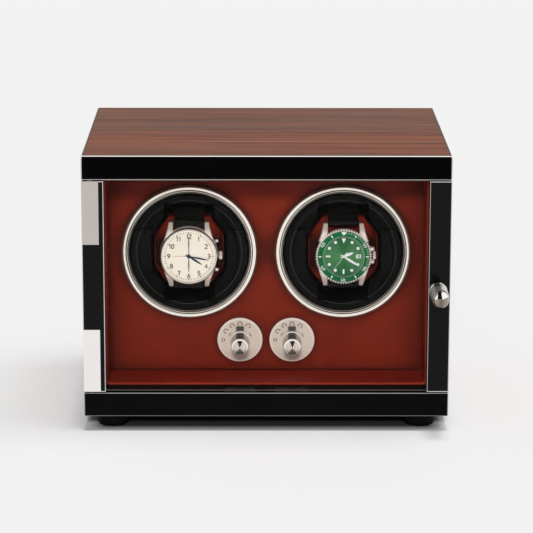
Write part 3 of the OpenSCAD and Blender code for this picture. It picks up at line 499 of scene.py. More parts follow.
def makePlastic(name, colour, roughness, specular, grain=900, depth=0.05):
    material, tree, shader, place = newMaterial(name, Specular_IOR_Level=specular)
    dust = useGroup(tree, dustGroup, place)
    base = mixColour(tree, dust.outputs["Smear"], colour, tuple(min(1, c * 1.5) for c in colour))
    base = mixColour(tree, times(tree, dust.outputs["Dust"], 0.04), base, (0.3, 0.28, 0.26))
    wire(tree, base, shader.inputs["Base Color"])
    wire(tree, mapRange(tree, dust.outputs["Smear"], 0.3, 0.8, roughness, roughness + 0.08),
         shader.inputs["Roughness"])
    if depth:
        bump(tree, shader, noise(tree, place, grain, 3.0, 0.6), depth, 0.1 * mm)
    return material


plateLook = {"steel": (0.84, 0.73, 0.62), "dark": (0.70, 0.60, 0.505), "rim": (0.95, 0.86, 0.76),
             "rimRadius": 15.3 * mm, "paintedReflection": (0.035, 0.03, 0.026), "reflectionAt": 8.7 * mm,
             "reflectionHalf": (3.0 * mm, 1.8 * mm)}


def makePlateLook(name, centre):
    # Satin steel turned about the knob, darkened in fans by angle as painted shade, with a painted highlight
    # on its bevel and a painted reflection of the knob above it
    p = plateLook
    material, tree, shader, place = newMaterial(name, Metallic=0.3, Specular_IOR_Level=0.1)
    brush = useGroup(tree, brushGroup, place, Centre=tuple(centre))
    scratch = brush.outputs["Scratch"]
    split = parted(tree, place)
    across = absolute(tree, minus(tree, split[0], float(centre[0])))
    rise = minus(tree, split[2], float(centre[2]))
    base = mixColour(tree, mapRange(tree, scratch, 0.3, 0.7), p["dark"], p["steel"])
    base = mixColour(tree, times(tree, brush.outputs["Fan"], 0.08), base, p["paintedReflection"])
    rim = mapRange(tree, brush.outputs["Radius"], p["rimRadius"], p["rimRadius"] + 0.2 * mm)
    base = mixColour(tree, rim, base, p["rim"])
    # painted reflection of the knob: a dark patch above it
    halfX, halfZ = p["reflectionHalf"]
    reach = absolute(tree, minus(tree, rise, p["reflectionAt"]))
    paintedReflection = times(tree, mapRange(tree, across, halfX - 0.5 * mm, halfX + 0.3 * mm, 1.0, 0.0),
                 mapRange(tree, reach, halfZ - 0.5 * mm, halfZ + 0.3 * mm, 1.0, 0.0))
    base = mixColour(tree, times(tree, paintedReflection, 0.9), base, p["paintedReflection"])
    wire(tree, base, shader.inputs["Base Color"])
    wire(tree, mapRange(tree, scratch, 0.3, 0.7, 0.26, 0.36), shader.inputs["Roughness"])
    bump(tree, shader, scratch, 0.12, 0.05 * mm)
    return material


knobLook = {"steel": (0.74, 0.64, 0.55), "dark": (0.02, 0.017, 0.014), "light": (1.0, 0.97, 0.93),
            "wedge": (0.17, 0.145, 0.12), "line": (0.12, 0.105, 0.09), "face": 1.55 * mm,
            "edges": (1.75 * mm, 20.25 * mm), "fans": 14.0, "wedgeFrom": (-0.74, -0.82),
            "darkFrom": (0.90, 0.95), "topFrom": (0.84, 0.92)}


def makeKnobLook(name, node):
    # Painted reflections: light and dark wedges on the end's shallow cone, a dark stripe along the barrel's
    # top, and painted highlights along two edges
    p = knobLook
    low, high = nodeBox(node)
    centre = (low + high) / 2
    material, tree, shader, place = newMaterial(name, Metallic=0.5, Specular_IOR_Level=0.1)
    brush = useGroup(tree, brushGroup, place, Centre=tuple(centre))
    split = parted(tree, place)
    rise = minus(tree, split[2], float(centre[2]))
    share = over(tree, rise, larger(tree, brush.outputs["Radius"], 0.0001))
    depth = minus(tree, split[1], float(low[1]))
    face = mapRange(tree, depth, p["face"], p["face"] + 0.1 * mm, 1.0, 0.0)
    barrel = minus(tree, 1.0, face)
    scratch = brush.outputs["Scratch"]
    base = mixColour(tree, mapRange(tree, scratch, 0.3, 0.7), tuple(c * 0.85 for c in p["steel"]), p["steel"])
    fan = mathNode(tree, "SINE", times(tree, share, p["fans"]))
    base = mixColour(tree, times(tree, mapRange(tree, fan, 0.2, 1.0, 0.0, 0.35), face), base, p["light"])
    below = times(tree, mapRange(tree, share, *p["wedgeFrom"]), face)
    base = mixColour(tree, below, base, p["wedge"])
    above = times(tree, mapRange(tree, share, *p["darkFrom"]), face)
    base = mixColour(tree, above, base, p["dark"])
    rings = mathNode(tree, "SINE", times(tree, depth, 2 * math.pi / (1.5 * mm)))
    onTop = times(tree, mapRange(tree, share, *p["topFrom"]), barrel)
    turned = mixColour(tree, mapRange(tree, rings, 0.2, 0.9), p["dark"], p["line"])
    base = mixColour(tree, onTop, base, turned)
    lit = mapRange(tree, share, -0.5, 0.1, 0.25, 1.0)
    for edge in p["edges"]:
        gap = absolute(tree, minus(tree, depth, edge))
        line = times(tree, mapRange(tree, gap, 0.34 * mm, 0.46 * mm, 1.0, 0.0), lit)
        base = mixColour(tree, line, base, p["light"])
    wire(tree, base, shader.inputs["Base Color"])
    wire(tree, mapRange(tree, scratch, 0.3, 0.7, 0.22, 0.32), shader.inputs["Roughness"])
    bump(tree, shader, scratch, 0.1, 0.05 * mm)
    return material


cupLook = {"colour": (0.0012, 0.0011, 0.0009), "lip": 0.10, "plate": 0.05, "ear": 0.12,
           "edge": (0.06, 0.055, 0.05), "highlightRadius": 38.3 * mm, "earDepth": (1.6 * mm, 1.9 * mm),
           "lipDepth": (2.6 * mm, 3.0 * mm)}


def makeCupLook(side):
    # Moulded gloss black: the clear coat is stronger on the lip and the ears than on the recessed mouth
    # plate, with a thin painted highlight along the lip's inner edge
    low, high = nodeBox("rotor_cup_" + side)
    centre = (low + high) / 2
    material, tree, shader, place = newMaterial("cupBlack_" + side, Specular_IOR_Level=0.02,
                                                Coat_Roughness=0.14, Roughness=0.4)
    radius = useGroup(tree, brushGroup, place, Centre=tuple(centre)).outputs["Radius"]
    split = parted(tree, place)
    depth = minus(tree, split[1], float(low[1]))
    ear = mapRange(tree, depth, *cupLook["earDepth"], 1.0, 0.0)
    lip = mapRange(tree, depth, *cupLook["lipDepth"], 1.0, 0.0)
    weight = plus(tree, times(tree, lip, cupLook["lip"] - cupLook["plate"]), cupLook["plate"])
    weight = plus(tree, weight, times(tree, ear, cupLook["ear"] - cupLook["lip"]))
    wire(tree, weight, shader.inputs["Coat Weight"])
    gap = absolute(tree, minus(tree, radius, cupLook["highlightRadius"]))
    line = times(tree, mapRange(tree, gap, 0.1 * mm, 0.28 * mm, 1.0, 0.0), lip)
    wire(tree, mixColour(tree, line, cupLook["colour"], cupLook["edge"]), shader.inputs["Base Color"])
    return material


glassLook = {"tint": (0.10, 0.12, 0.115), "alpha": 0.02, "edgeAlpha": 0.6, "edgeHighlight": (0.40, 0.39, 0.37)}


def makeGlass():
    # Clear glass with a faint haze of smears, and a painted highlight along the top and bottom edges of its
    # front face
    material, tree, shader, place = newMaterial("paneGlass", Roughness=0.03, Specular_IOR_Level=0.5)
    low, high = nodeBox("door_glass")
    split = parted(tree, place)
    fromMiddle = absolute(tree, minus(tree, split[2], float((low[2] + high[2]) / 2)))
    half = float(high[2] - low[2]) / 2
    rim = mapRange(tree, fromMiddle, half - 0.35 * mm, half - 0.2 * mm)
    front = mapRange(tree, split[1], float(low[1]) + 0.1 * mm, float(low[1]) + 0.5 * mm, 1.0, 0.0)
    rim = times(tree, rim, front)
    smear = useGroup(tree, dustGroup, place).outputs["Smear"]
    wire(tree, mixColour(tree, rim, glassLook["tint"], glassLook["edgeHighlight"]), shader.inputs["Base Color"])
    haze = times(tree, smear, glassLook["alpha"])
    alpha = larger(tree, haze, times(tree, rim, glassLook["edgeAlpha"]))
    wire(tree, alpha, shader.inputs["Alpha"])
    return material


linerRed = {"dark": (0.185, 0.0130, 0.0060), "light": (0.280, 0.0200, 0.0090)}
leatherRed = {"dark": (0.146, 0.0142, 0.0064), "light": (0.230, 0.0218, 0.0092)}
fasciaShade = {"strength": 0.72, "tone": (0.045, 0.006, 0.0035), "seam": (0.012, 0.002, 0.001),
                 "sideReach": 26, "topReach": 20, "floorReach": 9, "ringRadius": 49.7, "ringReach": 9,
                 "plateRadius": 16.5, "plateReach": 6, "betweenReach": (24, 14)}


def makeFasciaLook():
    # Leather with painted shade: darker towards its edges, round the rings and plates, and between the rings
    p = fasciaShade
    dark, light = leatherRed["dark"], leatherRed["light"]
    material, tree, shader, place = newMaterial("fasciaLeather", Specular_IOR_Level=0.07)
    grain = useGroup(tree, leatherGroup, place, Scale=1.0)
    low, high = nodeBox("fascia_panel")
    shade = None
    split = parted(tree, place)
    x, z = split[0], split[2]
    gaps = [(minus(tree, x, float(low[0])), p["sideReach"]),
            (minus(tree, float(high[0]), x), p["sideReach"]),
            (minus(tree, float(high[2]), z), p["topReach"]),
            (minus(tree, z, float(low[2])), p["floorReach"])]
    for side in sides:
        radius = useGroup(tree, brushGroup, place, Centre=tuple(middle("bezel_" + side))).outputs["Radius"]
        gaps.append((minus(tree, radius, p["ringRadius"] * mm), p["ringReach"]))
        plateAt = tuple(middle("selector_plate_" + side))
        radius = useGroup(tree, brushGroup, place, Centre=plateAt).outputs["Radius"]
        gaps.append((minus(tree, radius, p["plateRadius"] * mm), p["plateReach"]))
    ringLine = float(middle("bezel_left")[2])
    radius = useGroup(tree, brushGroup, place, Centre=(0, 0, ringLine)).outputs["Radius"]
    gaps += [(radius, reach) for reach in p["betweenReach"]]
    for gap, reach in gaps:
        near = mapRange(tree, gap, 0.0, reach * mm, 1.0, 0.0)
        near = times(tree, near, near)
        shade = near if shade is None else mathNode(tree, "ADD", shade, near, clamp=True)
    base = mixColour(tree, mapRange(tree, grain.outputs["Tint"], 0.32, 0.68), dark, light)
    base = mixColour(tree, times(tree, shade, p["strength"]), base, p["tone"])
    floorTop = float(nodeBox("floor_liner")[1][2])
    seam = mapRange(tree, z, floorTop + 0.5 * mm, floorTop + 1.0 * mm, 1.0, 0.0)
    base = mixColour(tree, seam, base, p["seam"])
    wire(tree, base, shader.inputs["Base Color"])
    wire(tree, mapRange(tree, grain.outputs["Gloss"], 0.3, 0.7, 0.4, 0.55), shader.inputs["Roughness"])
    bump(tree, shader, grain.outputs["Height"], 0.3, 0.12 * mm)
    return material


pillowRed = {"dark": (0.12, 0.011, 0.005), "light": (0.19, 0.020, 0.009), "side": (0.005, 0.002, 0.0015),
             "redHalf": 24.0 * mm, "corner": 28.6 * mm, "slant": (0.754, 0.657), "slantDrop": 2.4 * mm,
             "band": (9 * mm, 19 * mm), "bandStrength": 0.93}


def makePillowLook(side):
    # Red leather with painted shade: black above and below and outside an octagon, and a painted shadow in a
    # soft band across the middle
    material, tree, shader, place = newMaterial("pillowLeather_" + side, Specular_IOR_Level=0.06)
    centre = middle("bezel_" + side)
    grain = useGroup(tree, leatherGroup, place, Scale=1.3)
    split = parted(tree, place)
    x = absolute(tree, minus(tree, split[0], float(centre[0])))
    rise = minus(tree, split[2], float(centre[2]))
    z = absolute(tree, rise)
    slope = times(tree, absolute(tree, plus(tree, rise, pillowRed["slantDrop"])), pillowRed["slant"][1])
    slope = plus(tree, slope, times(tree, x, pillowRed["slant"][0]))
    base = mixColour(tree, mapRange(tree, grain.outputs["Tint"], 0.32, 0.68), pillowRed["dark"],
                     pillowRed["light"])
    middleBand = times(tree, mapRange(tree, z, *pillowRed["band"], 1.0, 0.0), pillowRed["bandStrength"])
    base = mixColour(tree, middleBand, base, pillowRed["side"])
    panel = mapRange(tree, z, pillowRed["redHalf"], pillowRed["redHalf"] + 1.5 * mm)
    corner = mapRange(tree, slope, pillowRed["corner"], pillowRed["corner"] + 0.7 * mm)
    panel = larger(tree, panel, corner)
    wire(tree, mixColour(tree, panel, base, pillowRed["side"]), shader.inputs["Base Color"])
    wire(tree, mapRange(tree, grain.outputs["Gloss"], 0.3, 0.7, 0.45, 0.6), shader.inputs["Roughness"])
    bump(tree, shader, grain.outputs["Height"], 0.3, 0.12 * mm)
    return material


looks = {
    "rosewood": makeRosewood("rosewood", False),
    "sideRosewood": makeRosewood("sideRosewood", True),
    "liningLeather": makeLeather("cupLining", (0.006, 0.0018, 0.0012), (0.011, 0.003, 0.002), 1.0),
    "leather": makeLeather("redLeather", linerRed["dark"], linerRed["light"], 1.0),
    "strap": makeLeather("strapLeather", (0.004, 0.0035, 0.003), (0.010, 0.009, 0.008), 1.6, 0.34, 0.5, 0.12),
    "chrome": makeMetal("polishedChrome", (0.86, 0.82, 0.76), 0.07, 0.05, 0.02),
    # One hinge steel in two copies: the upper painted darker as painted shade, the lower painted paler as
    # painted light
    "hingeShaded": makeMetal("hingeSteelShaded", (0.60, 0.55, 0.515), 0.26, 0.05, 0.03),
    "hingeLit": makeMetal("hingeSteelLit", (0.95, 0.92, 0.90), 0.22, 0.04, 0.03),
    "steel": makeMetal("machinedSteel", (0.62, 0.60, 0.57), 0.3, 0.1, 0.05),
    "polishedSteel": makeMetal("polishedSteel", (0.80, 0.77, 0.72), 0.12, 0.05, 0.02),
    "brass": makeMetal("bearingBrass", (0.70, 0.50, 0.22), 0.32, 0.1, 0.05),
    "gloss": makePlastic("glossBlack", (0.0016, 0.0015, 0.0014), 0.16, 0.12, 300, 0.0),
    "matte": makePlastic("matteBlack", (0.012, 0.012, 0.012), 0.55, 0.3, 1500, 0.2),
    "rubber": makePlastic("footRubber", (0.0022, 0.0022, 0.0021), 0.6, 0.06, 1200, 0.25),
    "board": makePlastic("boardGreen", (0.012, 0.075, 0.03), 0.3, 0.4, 700, 0.1),
    "glass": makeGlass(),
}
print("materials made")


def dress(name, look):
    mesh = nodes[name].data
    material = looks[look] if isinstance(look, str) else look
    if not mesh.materials:
        mesh.materials.append(material)
    for index in range(len(mesh.materials)):
        mesh.materials[index] = material


def dressCad():
    plan = {
        "rosewood": ["top_veneer"],
        "sideRosewood": ["side_panel_left", "side_panel_right"],
        "leather": ["floor_liner", "ceiling_liner", "side_liners"],
        "liningLeather": ["cup_lining_left", "cup_lining_right"],
        "chrome": ["bezel_left", "bezel_right", "door_knob"],
        "hingeShaded": ["hinge_block_upper"],
        "hingeLit": ["hinge_block_lower"],
        "steel": ["back_screws", "foot_screws", "door_screws", "hinge_pins", "drive_spacers", "motor_left",
                  "motor_right", "catch_magnet", "strike_plate", "board_standoffs"],
        "brass": ["hinge_bushings", "spindle_bearings"],
        "gloss": ["rocker"],
        "matte": ["drive_plate", "rotor_pulley_left", "rotor_pulley_right", "motor_pulley_left",
                  "motor_pulley_right", "switch_left", "switch_right", "power_inlet", "rocker_frame"],
        "rubber": ["feet", "drive_belts"],
        "board": ["control_board"],
        "glass": ["door_glass"],
    }
    for look, names in plan.items():
        for name in names:
            dress(name, look)
    for name in ("base_slab", "top_slab", "back_panel", "door_stile_left", "door_stile_right"):
        low, high = nodeBox(name)
        width, tone = lacquer["highlightEdges"].get(name, (None, None))
        dress(name, makeLacquer(name + "Lacquer", low, high, lacquer["gloss"][name], width, tone))
    for side in sides:
        plate = middle("selector_plate_" + side)
        dress("selector_plate_" + side, makePlateLook("plateSteel_" + side, plate))
        looks["selectorKnob_" + side] = makeKnobLook("knobSteel_" + side, "selector_knob_" + side)
        dress("rotor_cup_" + side, makeCupLook(side))


dressCad()
dress("fascia_panel", makeFasciaLook())
print("cad pieces dressed")


def makeObject(name, verts, faces, material, smooth=True):
    mesh = bpy.data.meshes.new(name)
    mesh.from_pydata([tuple(v) for v in verts], [], [tuple(int(i) for i in f) for f in faces])
    mesh.polygons.foreach_set("use_smooth", [smooth] * len(mesh.polygons))
    mesh.materials.append(looks[material] if isinstance(material, str) else material)
    mesh.update()
    made = bpy.data.objects.new(name, mesh)
    bpy.context.scene.collection.objects.link(made)
    return made


def outward(made):
    work = bmesh.new()
    work.from_mesh(made.data)
    bmesh.ops.remove_doubles(work, verts=work.verts, dist=1e-7)
    bmesh.ops.recalc_face_normals(work, faces=work.faces)
    work.to_mesh(made.data)
    work.free()
    return made


def gridFaces(rows, columns, closeRows, closeColumns):
    faces = []
    for i in range(rows if closeRows else rows - 1):
        for j in range(columns if closeColumns else columns - 1):
            a, b = i * columns + j, i * columns + (j + 1) % columns
            c, d = ((i + 1) % rows) * columns + (j + 1) % columns, ((i + 1) % rows) * columns + j
            faces.append((a, b, c, d))
    return faces


def endCaps(rows, columns):
    # The faces that close the first and the last row of a grid
    return [tuple(range(columns)), tuple((rows - 1) * columns + i for i in range(columns))[::-1]]


def powered(value, share):
    # The value's size raised to a power, with its sign kept: below 1 it squares off a circle
    return np.sign(value) * np.abs(value) ** share


def lathe(profile, centre, steps, wave=None):
    # Each profile point [radius, y] is swept round the axis along Y through centre.
    # wave(angles, index) adds to the radius
    angles = np.linspace(0, 2 * np.pi, steps, endpoint=False)
    rings = []
    for index, (radius, y) in enumerate(profile):
        r = radius + (wave(angles, index) if wave else 0)
        rings.append(np.stack([centre[0] + r * np.cos(angles), np.full(steps, centre[1] + y),
                               centre[2] + r * np.sin(angles)], axis=1))
    verts = np.concatenate(rings)
    return verts, gridFaces(len(profile), steps, False, True)


def joined(parts):
    verts, faces, start = [], [], 0
    for v, f in parts:
        verts.append(np.asarray(v))
        faces += [tuple(i + start for i in face) for face in f]
        start += len(v)
    return np.concatenate(verts), faces


def capsule(start, end, width, height, outwardAxis, steps=8):
    # A stitch: rings along start to end whose half axes follow a half circle
    start, end, up = (np.asarray(v, float) for v in (start, end, outwardAxis))
    along = end - start
    length = np.linalg.norm(along)
    along = along / length
    side = np.cross(along, up)
    side /= np.linalg.norm(side)
    rows = []
    rings = 7
    for t in np.linspace(0.02, 0.98, rings):
        swell = math.sin(math.pi * t) ** 0.5
        a = np.linspace(0, 2 * np.pi, steps, endpoint=False)
        rows.append(start + along * length * t + np.outer(np.cos(a), side) * width * swell
                    + np.outer(np.sin(a), up) * height * swell)
    verts = np.concatenate(rows)
    faces = gridFaces(rings, steps, False, True)
    faces += [face[::-1] for face in endCaps(rings, steps)]
    return verts, faces


def closedLathe(profile, centre, steps, wave=None):
    # As lathe, with the last profile point joined to the first, so that the sweep is a closed ring
    verts, _ = lathe(profile, centre, steps, wave)
    return verts, gridFaces(len(profile), steps, True, True)


def place(side, depth=0.0):
    # A rotor's centre, at a depth in mm behind the door's face
    low, high = nodeBox("bezel_" + side)
    centre = (low + high) / 2
    return np.array([centre[0], frontY + depth * mm, centre[2]])


def inMm(points):
    return [(r * mm, y * mm) for r, y in points]


def evaluated(made):
    graph = bpy.context.evaluated_depsgraph_get()
    mesh = bpy.data.meshes.new_from_object(made.evaluated_get(graph))
    return mesh


def applyModifiers(made):
    mesh = evaluated(made)
    made.modifiers.clear()
    old = made.data
    made.data = mesh
    bpy.data.meshes.remove(old)
    return made


pillow = {"shrink": 1.2 * mm, "voxel": 2.6 * mm, "pressure": 4.0, "cap": 1.6 * mm, "mass": 0.002,
          "quality": 5, "stiffness": 5, "bending": 0.1, "sideLimit": 26.45 * mm, "frames": 20,
          "pipingRadius": 0.45 * mm, "pipingReach": 24.6 * mm, "pipingDepth": 72.0, "pipingPoints": 160}


def vertexArray(mesh):
    flat = np.empty(len(mesh.vertices) * 3)
    mesh.vertices.foreach_get("co", flat)
    return flat.reshape(-1, 3)


def setVertices(mesh, points):
    mesh.vertices.foreach_set("co", points.ravel())
    mesh.update()


def swell(made):
    # Blow the pad up as cloth, then hold each point to the cap
    before = vertexArray(made.data)
    cloth = made.modifiers.new("cloth", "CLOTH")
    cloth.settings.quality = pillow["quality"]
    cloth.settings.mass = pillow["mass"]
    cloth.settings.use_pressure = True
    cloth.settings.uniform_pressure_force = pillow["pressure"]
    cloth.settings.tension_stiffness = pillow["stiffness"]
    cloth.settings.compression_stiffness = pillow["stiffness"]
    cloth.settings.bending_stiffness = pillow["bending"]
    cloth.settings.effector_weights.gravity = 0
    cloth.point_cache.frame_start = 1
    cloth.point_cache.frame_end = pillow["frames"]
    for step in range(1, pillow["frames"] + 1):
        bpy.context.scene.frame_set(step)
    after = vertexArray(evaluated(made))
    made.modifiers.clear()
    bpy.context.scene.frame_set(1)
    moved = after - before
    size = np.linalg.norm(moved, axis=1, keepdims=True)
    print("cloth moved", float(size.mean() / mm), float(size.max() / mm))
    moved *= np.minimum(1, pillow["cap"] / np.maximum(size, 1e-9))
    setVertices(made.data, before + moved)


def makePillow(side):
    centre = place(side)
    source = nodes["pillow_" + side].data.copy()
    made = bpy.data.objects.new("pillow_" + side + "_soft", source)
    bpy.context.scene.collection.objects.link(made)
    outward(made)
    remesh = made.modifiers.new("remesh", "REMESH")
    remesh.mode = "VOXEL"
    remesh.voxel_size = pillow["voxel"]
    applyModifiers(made)
    points = vertexArray(made.data)
    normals = np.array([v.normal[:] for v in made.data.vertices])
    setVertices(made.data, points - normals * pillow["shrink"])
    swell(made)
    points = vertexArray(made.data)
    limit = pillow["sideLimit"]
    points[:, 0] = np.clip(points[:, 0], centre[0] - limit, centre[0] + limit)
    setVertices(made.data, points)
    subdivide = made.modifiers.new("subdivide", "SUBSURF")
    subdivide.levels = subdivide.render_levels = 1
    applyModifiers(made)
    made.data.materials.clear()
    made.data.materials.append(makePillowLook(side))
    made.data.polygons.foreach_set("use_smooth", [True] * len(made.data.polygons))
    made.data.update()
    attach(made, side + "_pillow")
    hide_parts("pillow_" + side)
    return made


softPillows = {side: makePillow(side) for side in sides}
print("pillows made")


strap = {"width": 22.4, "taper": 1.6, "thickness": 2.2, "rollRadius": 1.75, "barDepth": 46.4,
         "arcRadius": 17.0, "arcDepth": 66.0, "arcHeight": 11.0, "endDepth": 81.6, "stitchInset": 1.7,
         "stitchLength": 2.4, "stitchGap": 1.0, "crossRow": 13.0, "endGap": 0.35, "endHalf": 10.9,
         "threadHalf": (0.28 * mm, 0.2 * mm)}
watches = {"left": {"diameter": 42.0, "barHeight": 23.5, "bandInset": 0.0,
                    "curvedEnds": True, "guards": False},
           "right": {"diameter": 40.5, "barHeight": 22.75, "bandInset": 1.1,
                     "curvedEnds": False, "guards": True}}


def strapPath(barHeight, count=90):
    # Straight back from the bar, round the pillow's corner on an arc, then straight back along its side
    start = math.asin((barHeight - strap["arcHeight"]) / strap["arcRadius"]) + 0.22
    meet = strap["arcDepth"] - strap["arcRadius"] * math.cos(start)
    straight = np.stack([np.linspace(strap["barDepth"] - strap["rollRadius"], meet - 1.5, 12),
                         barHeight + np.linspace(0, 1, 12) ** 2 * 0.9], axis=1)
    turn = np.linspace(start, np.pi / 2, 24)
    arc = np.stack([strap["arcDepth"] - strap["arcRadius"] * np.cos(turn),
                    strap["arcHeight"] + strap["arcRadius"] * np.sin(turn)], axis=1)
    tail = np.stack([np.linspace(strap["arcDepth"] + 1, strap["endDepth"], 12),
                     np.full(12, strap["arcHeight"] + strap["arcRadius"])], axis=1)
    path = np.concatenate([straight, arc, tail])
    along = np.concatenate([[0], np.cumsum(np.linalg.norm(np.diff(path, axis=0), axis=1))])
    even = np.linspace(0, along[-1], count)
    path = np.stack([np.interp(even, along, path[:, k]) for k in range(2)], axis=1)
    for _ in range(6):
        path[1:-1] = (path[:-2] + 2 * path[1:-1] + path[2:]) / 4
    return path, even


def strapFrame(path):
    # The path's unit tangent and its normal at each point
    along = np.gradient(path, axis=0)
    along /= np.linalg.norm(along, axis=1, keepdims=True)
    out = np.stack([-along[:, 1], along[:, 0]], axis=1)
    return along, out


def strapSurface(centre, sign, barHeight):
    # Rows follow the path. Each row is a flattened ring, wide across X and thin along the normal
    path, s = strapPath(barHeight)
    _, out = strapFrame(path)
    roll = strap["rollRadius"]
    flat = strap["thickness"] / 2
    half = flat + (roll - flat) * np.exp(-(np.clip(s - roll, 0, 99) / 2.2) ** 2)
    nose = np.sqrt(np.clip(1 - np.clip(1 - s / roll, 0, 1) ** 2, 0.02, 1))
    half *= nose * np.sqrt(np.clip((s[-1] - s) / 1.0 + 0.06, 0, 1))
    wide = strap["width"] / 2 - strap["taper"] * s / s[-1] / 2
    wide = wide * np.sqrt(np.clip((s[-1] - s) / 3.0 + 0.5, 0, 1))
    angle = np.linspace(0, 2 * np.pi, 40, endpoint=False)
    across = powered(np.cos(angle), 0.35)
    thick = powered(np.sin(angle), 0.6)
    pad = 1 + 0.18 * (1 - across ** 2) * (thick > 0)
    x = centre[0] + wide[:, None] * across[None, :] * mm
    depth = path[:, 0][:, None] + half[:, None] * (thick * pad)[None, :] * out[:, 0][:, None] * -1
    height = path[:, 1][:, None] + half[:, None] * (thick * pad)[None, :] * out[:, 1][:, None] * -1
    y = frontY + depth * mm
    z = centre[2] + sign * height * mm
    verts = np.stack([np.broadcast_to(x, y.shape), y, z], axis=2).reshape(-1, 3)
    rows, columns = y.shape
    faces = gridFaces(rows, columns, False, True)
    faces += endCaps(rows, columns)
    return verts, faces


def strapEnd(side, sign):
    # Fills the gap between the bar and the case: its inner edge follows the case's round at a small distance
    centre = place(side)
    rows, columns = 41, 24
    radius = watches[side]["diameter"] / 2 + strap["endGap"]
    x = np.linspace(-strap["endHalf"], strap["endHalf"], rows)
    inner = np.sqrt(radius ** 2 - x ** 2)
    outer = np.full(rows, watches[side]["barHeight"] + 0.4)
    angle = np.linspace(0, 2 * np.pi, columns, endpoint=False)
    across = powered(np.cos(angle), 0.5)
    thick = powered(np.sin(angle), 0.5)
    trim = np.clip((11.0 - np.abs(x)) / 0.8 + 0.25, 0, 1) ** 0.5
    z = (inner + outer)[:, None] / 2 + (outer - inner)[:, None] / 2 * across[None, :]
    share = (z - inner[:, None]) / (outer - inner)[:, None]
    y = strap["barDepth"] - 0.4 - 0.9 * (1 - share) + 1.3 * trim[:, None] * thick[None, :]
    verts = np.stack([centre[0] + np.broadcast_to(x[:, None], z.shape) * mm, frontY + y * mm,
                      centre[2] + sign * z * mm], axis=2).reshape(-1, 3)
    faces = gridFaces(rows, columns, False, True)
    faces += endCaps(rows, columns)
    return verts, faces


def strapStitches(centre, sign, barHeight):
    # A capsule every pitch along both edges, lifted off the path by half the strap, and one row across
    path, s = strapPath(barHeight)
    _, out = strapFrame(path)
    pitch = strap["stitchLength"] + strap["stitchGap"]
    starts = np.arange(3.6, s[-1] - 3, pitch)
    parts = []
    for start in starts:
        spots = np.array([start, start + strap["stitchLength"]])
        at = np.stack([np.interp(spots, s, path[:, k]) for k in range(2)], axis=1)
        normal = -np.array([np.interp(start + 1, s, out[:, k]) for k in range(2)])
        at = at + normal * (strap["thickness"] / 2 * 1.04)
        wide = strap["width"] / 2 - strap["taper"] * spots / s[-1] / 2 - strap["stitchInset"]
        for edge in (-1, 1):
            ends = [np.array([centre[0] + edge * wide[k] * mm, frontY + at[k, 0] * mm,
                              centre[2] + sign * at[k, 1] * mm]) for k in range(2)]
            up = np.array([0, normal[0], sign * normal[1]])
            parts.append(capsule(*ends, *strap["threadHalf"], up))
    crossing = strap["crossRow"]
    at = np.array([np.interp(crossing, s, path[:, k]) for k in range(2)])
    normal = -np.array([np.interp(crossing, s, out[:, k]) for k in range(2)])
    at = at + normal * (strap["thickness"] / 2 * 1.16)
    for start in np.arange(-8.4, 8.0, pitch):
        ends = [np.array([centre[0] + x * mm, frontY + at[0] * mm, centre[2] + sign * at[1] * mm])
                for x in (start, min(start + strap["stitchLength"], 8.6))]
        parts.append(capsule(*ends, *strap["threadHalf"], np.array([0, normal[0], sign * normal[1]])))
    return joined(parts)


looks["thread"] = makeLeather("waxedThread", (0.10, 0.095, 0.085), (0.17, 0.16, 0.145), 3.0, 0.6, 0.2)


def makeStrap(side):
    centre = place(side)
    height = watches[side]["barHeight"]
    ends = [strapSurface(centre, s, height) for s in (-1, 1)]
    if watches[side]["curvedEnds"]:
        ends += [strapEnd(side, s) for s in (-1, 1)]
    body = outward(makeObject("strap_" + side, *joined(ends), "strap"))
    stitches = outward(makeObject("strapStitches_" + side,
                                  *joined([strapStitches(centre, s, height) for s in (-1, 1)]), "thread"))
    for piece in (body, stitches):
        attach(piece, side + "_pillow")
    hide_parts("watch_strap_" + side)


for side in sides:
    makeStrap(side)
print("straps made")


case = {"front": 36.8, "back": 47.8, "lugInner": 11.35, "lugOuter": 14.5, "lugFlare": 3.6, "lugTip": 1.3,
        "crownLength": 3.6, "crownRadius": 3.2, "buttonRadius": 1.7, "buttonLength": 3.0,
        "buttonAngles": (28, -28), "teeth": 30,
        "guard": {"out": -0.6, "depth": 42.6, "rise": 4.7, "half": (2.9, 2.6, 1.5)}}
for side in sides:
    centre = place(side)
    looks["caseSide_" + side] = makeTurnedMetal("caseSteel_" + side, (1.0, 0.90, 0.79), 0.2, centre, 0.2,
                                                0.12, 0.45, (watches[side]["barHeight"] - 0.6) * mm)


def axisLathe(profile, start, direction, steps, wave=None):
    # Sweep [radius, distance] round the line from start along direction
    direction = np.asarray(direction, float)
    direction /= np.linalg.norm(direction)
    side = np.cross(direction, (0, 1, 0))
    side /= np.linalg.norm(side)
    up = np.cross(side, direction)
    angles = np.linspace(0, 2 * np.pi, steps, endpoint=False)
    rings = []
    for index, (radius, along) in enumerate(profile):
        r = radius + (wave(angles, index) if wave else 0)
        r = np.broadcast_to(r, angles.shape)
        rings.append(np.asarray(start) + direction * along + np.outer(np.cos(angles) * r, side)
                     + np.outer(np.sin(angles) * r, up))
    return np.concatenate(rings), gridFaces(len(profile), steps, False, True)


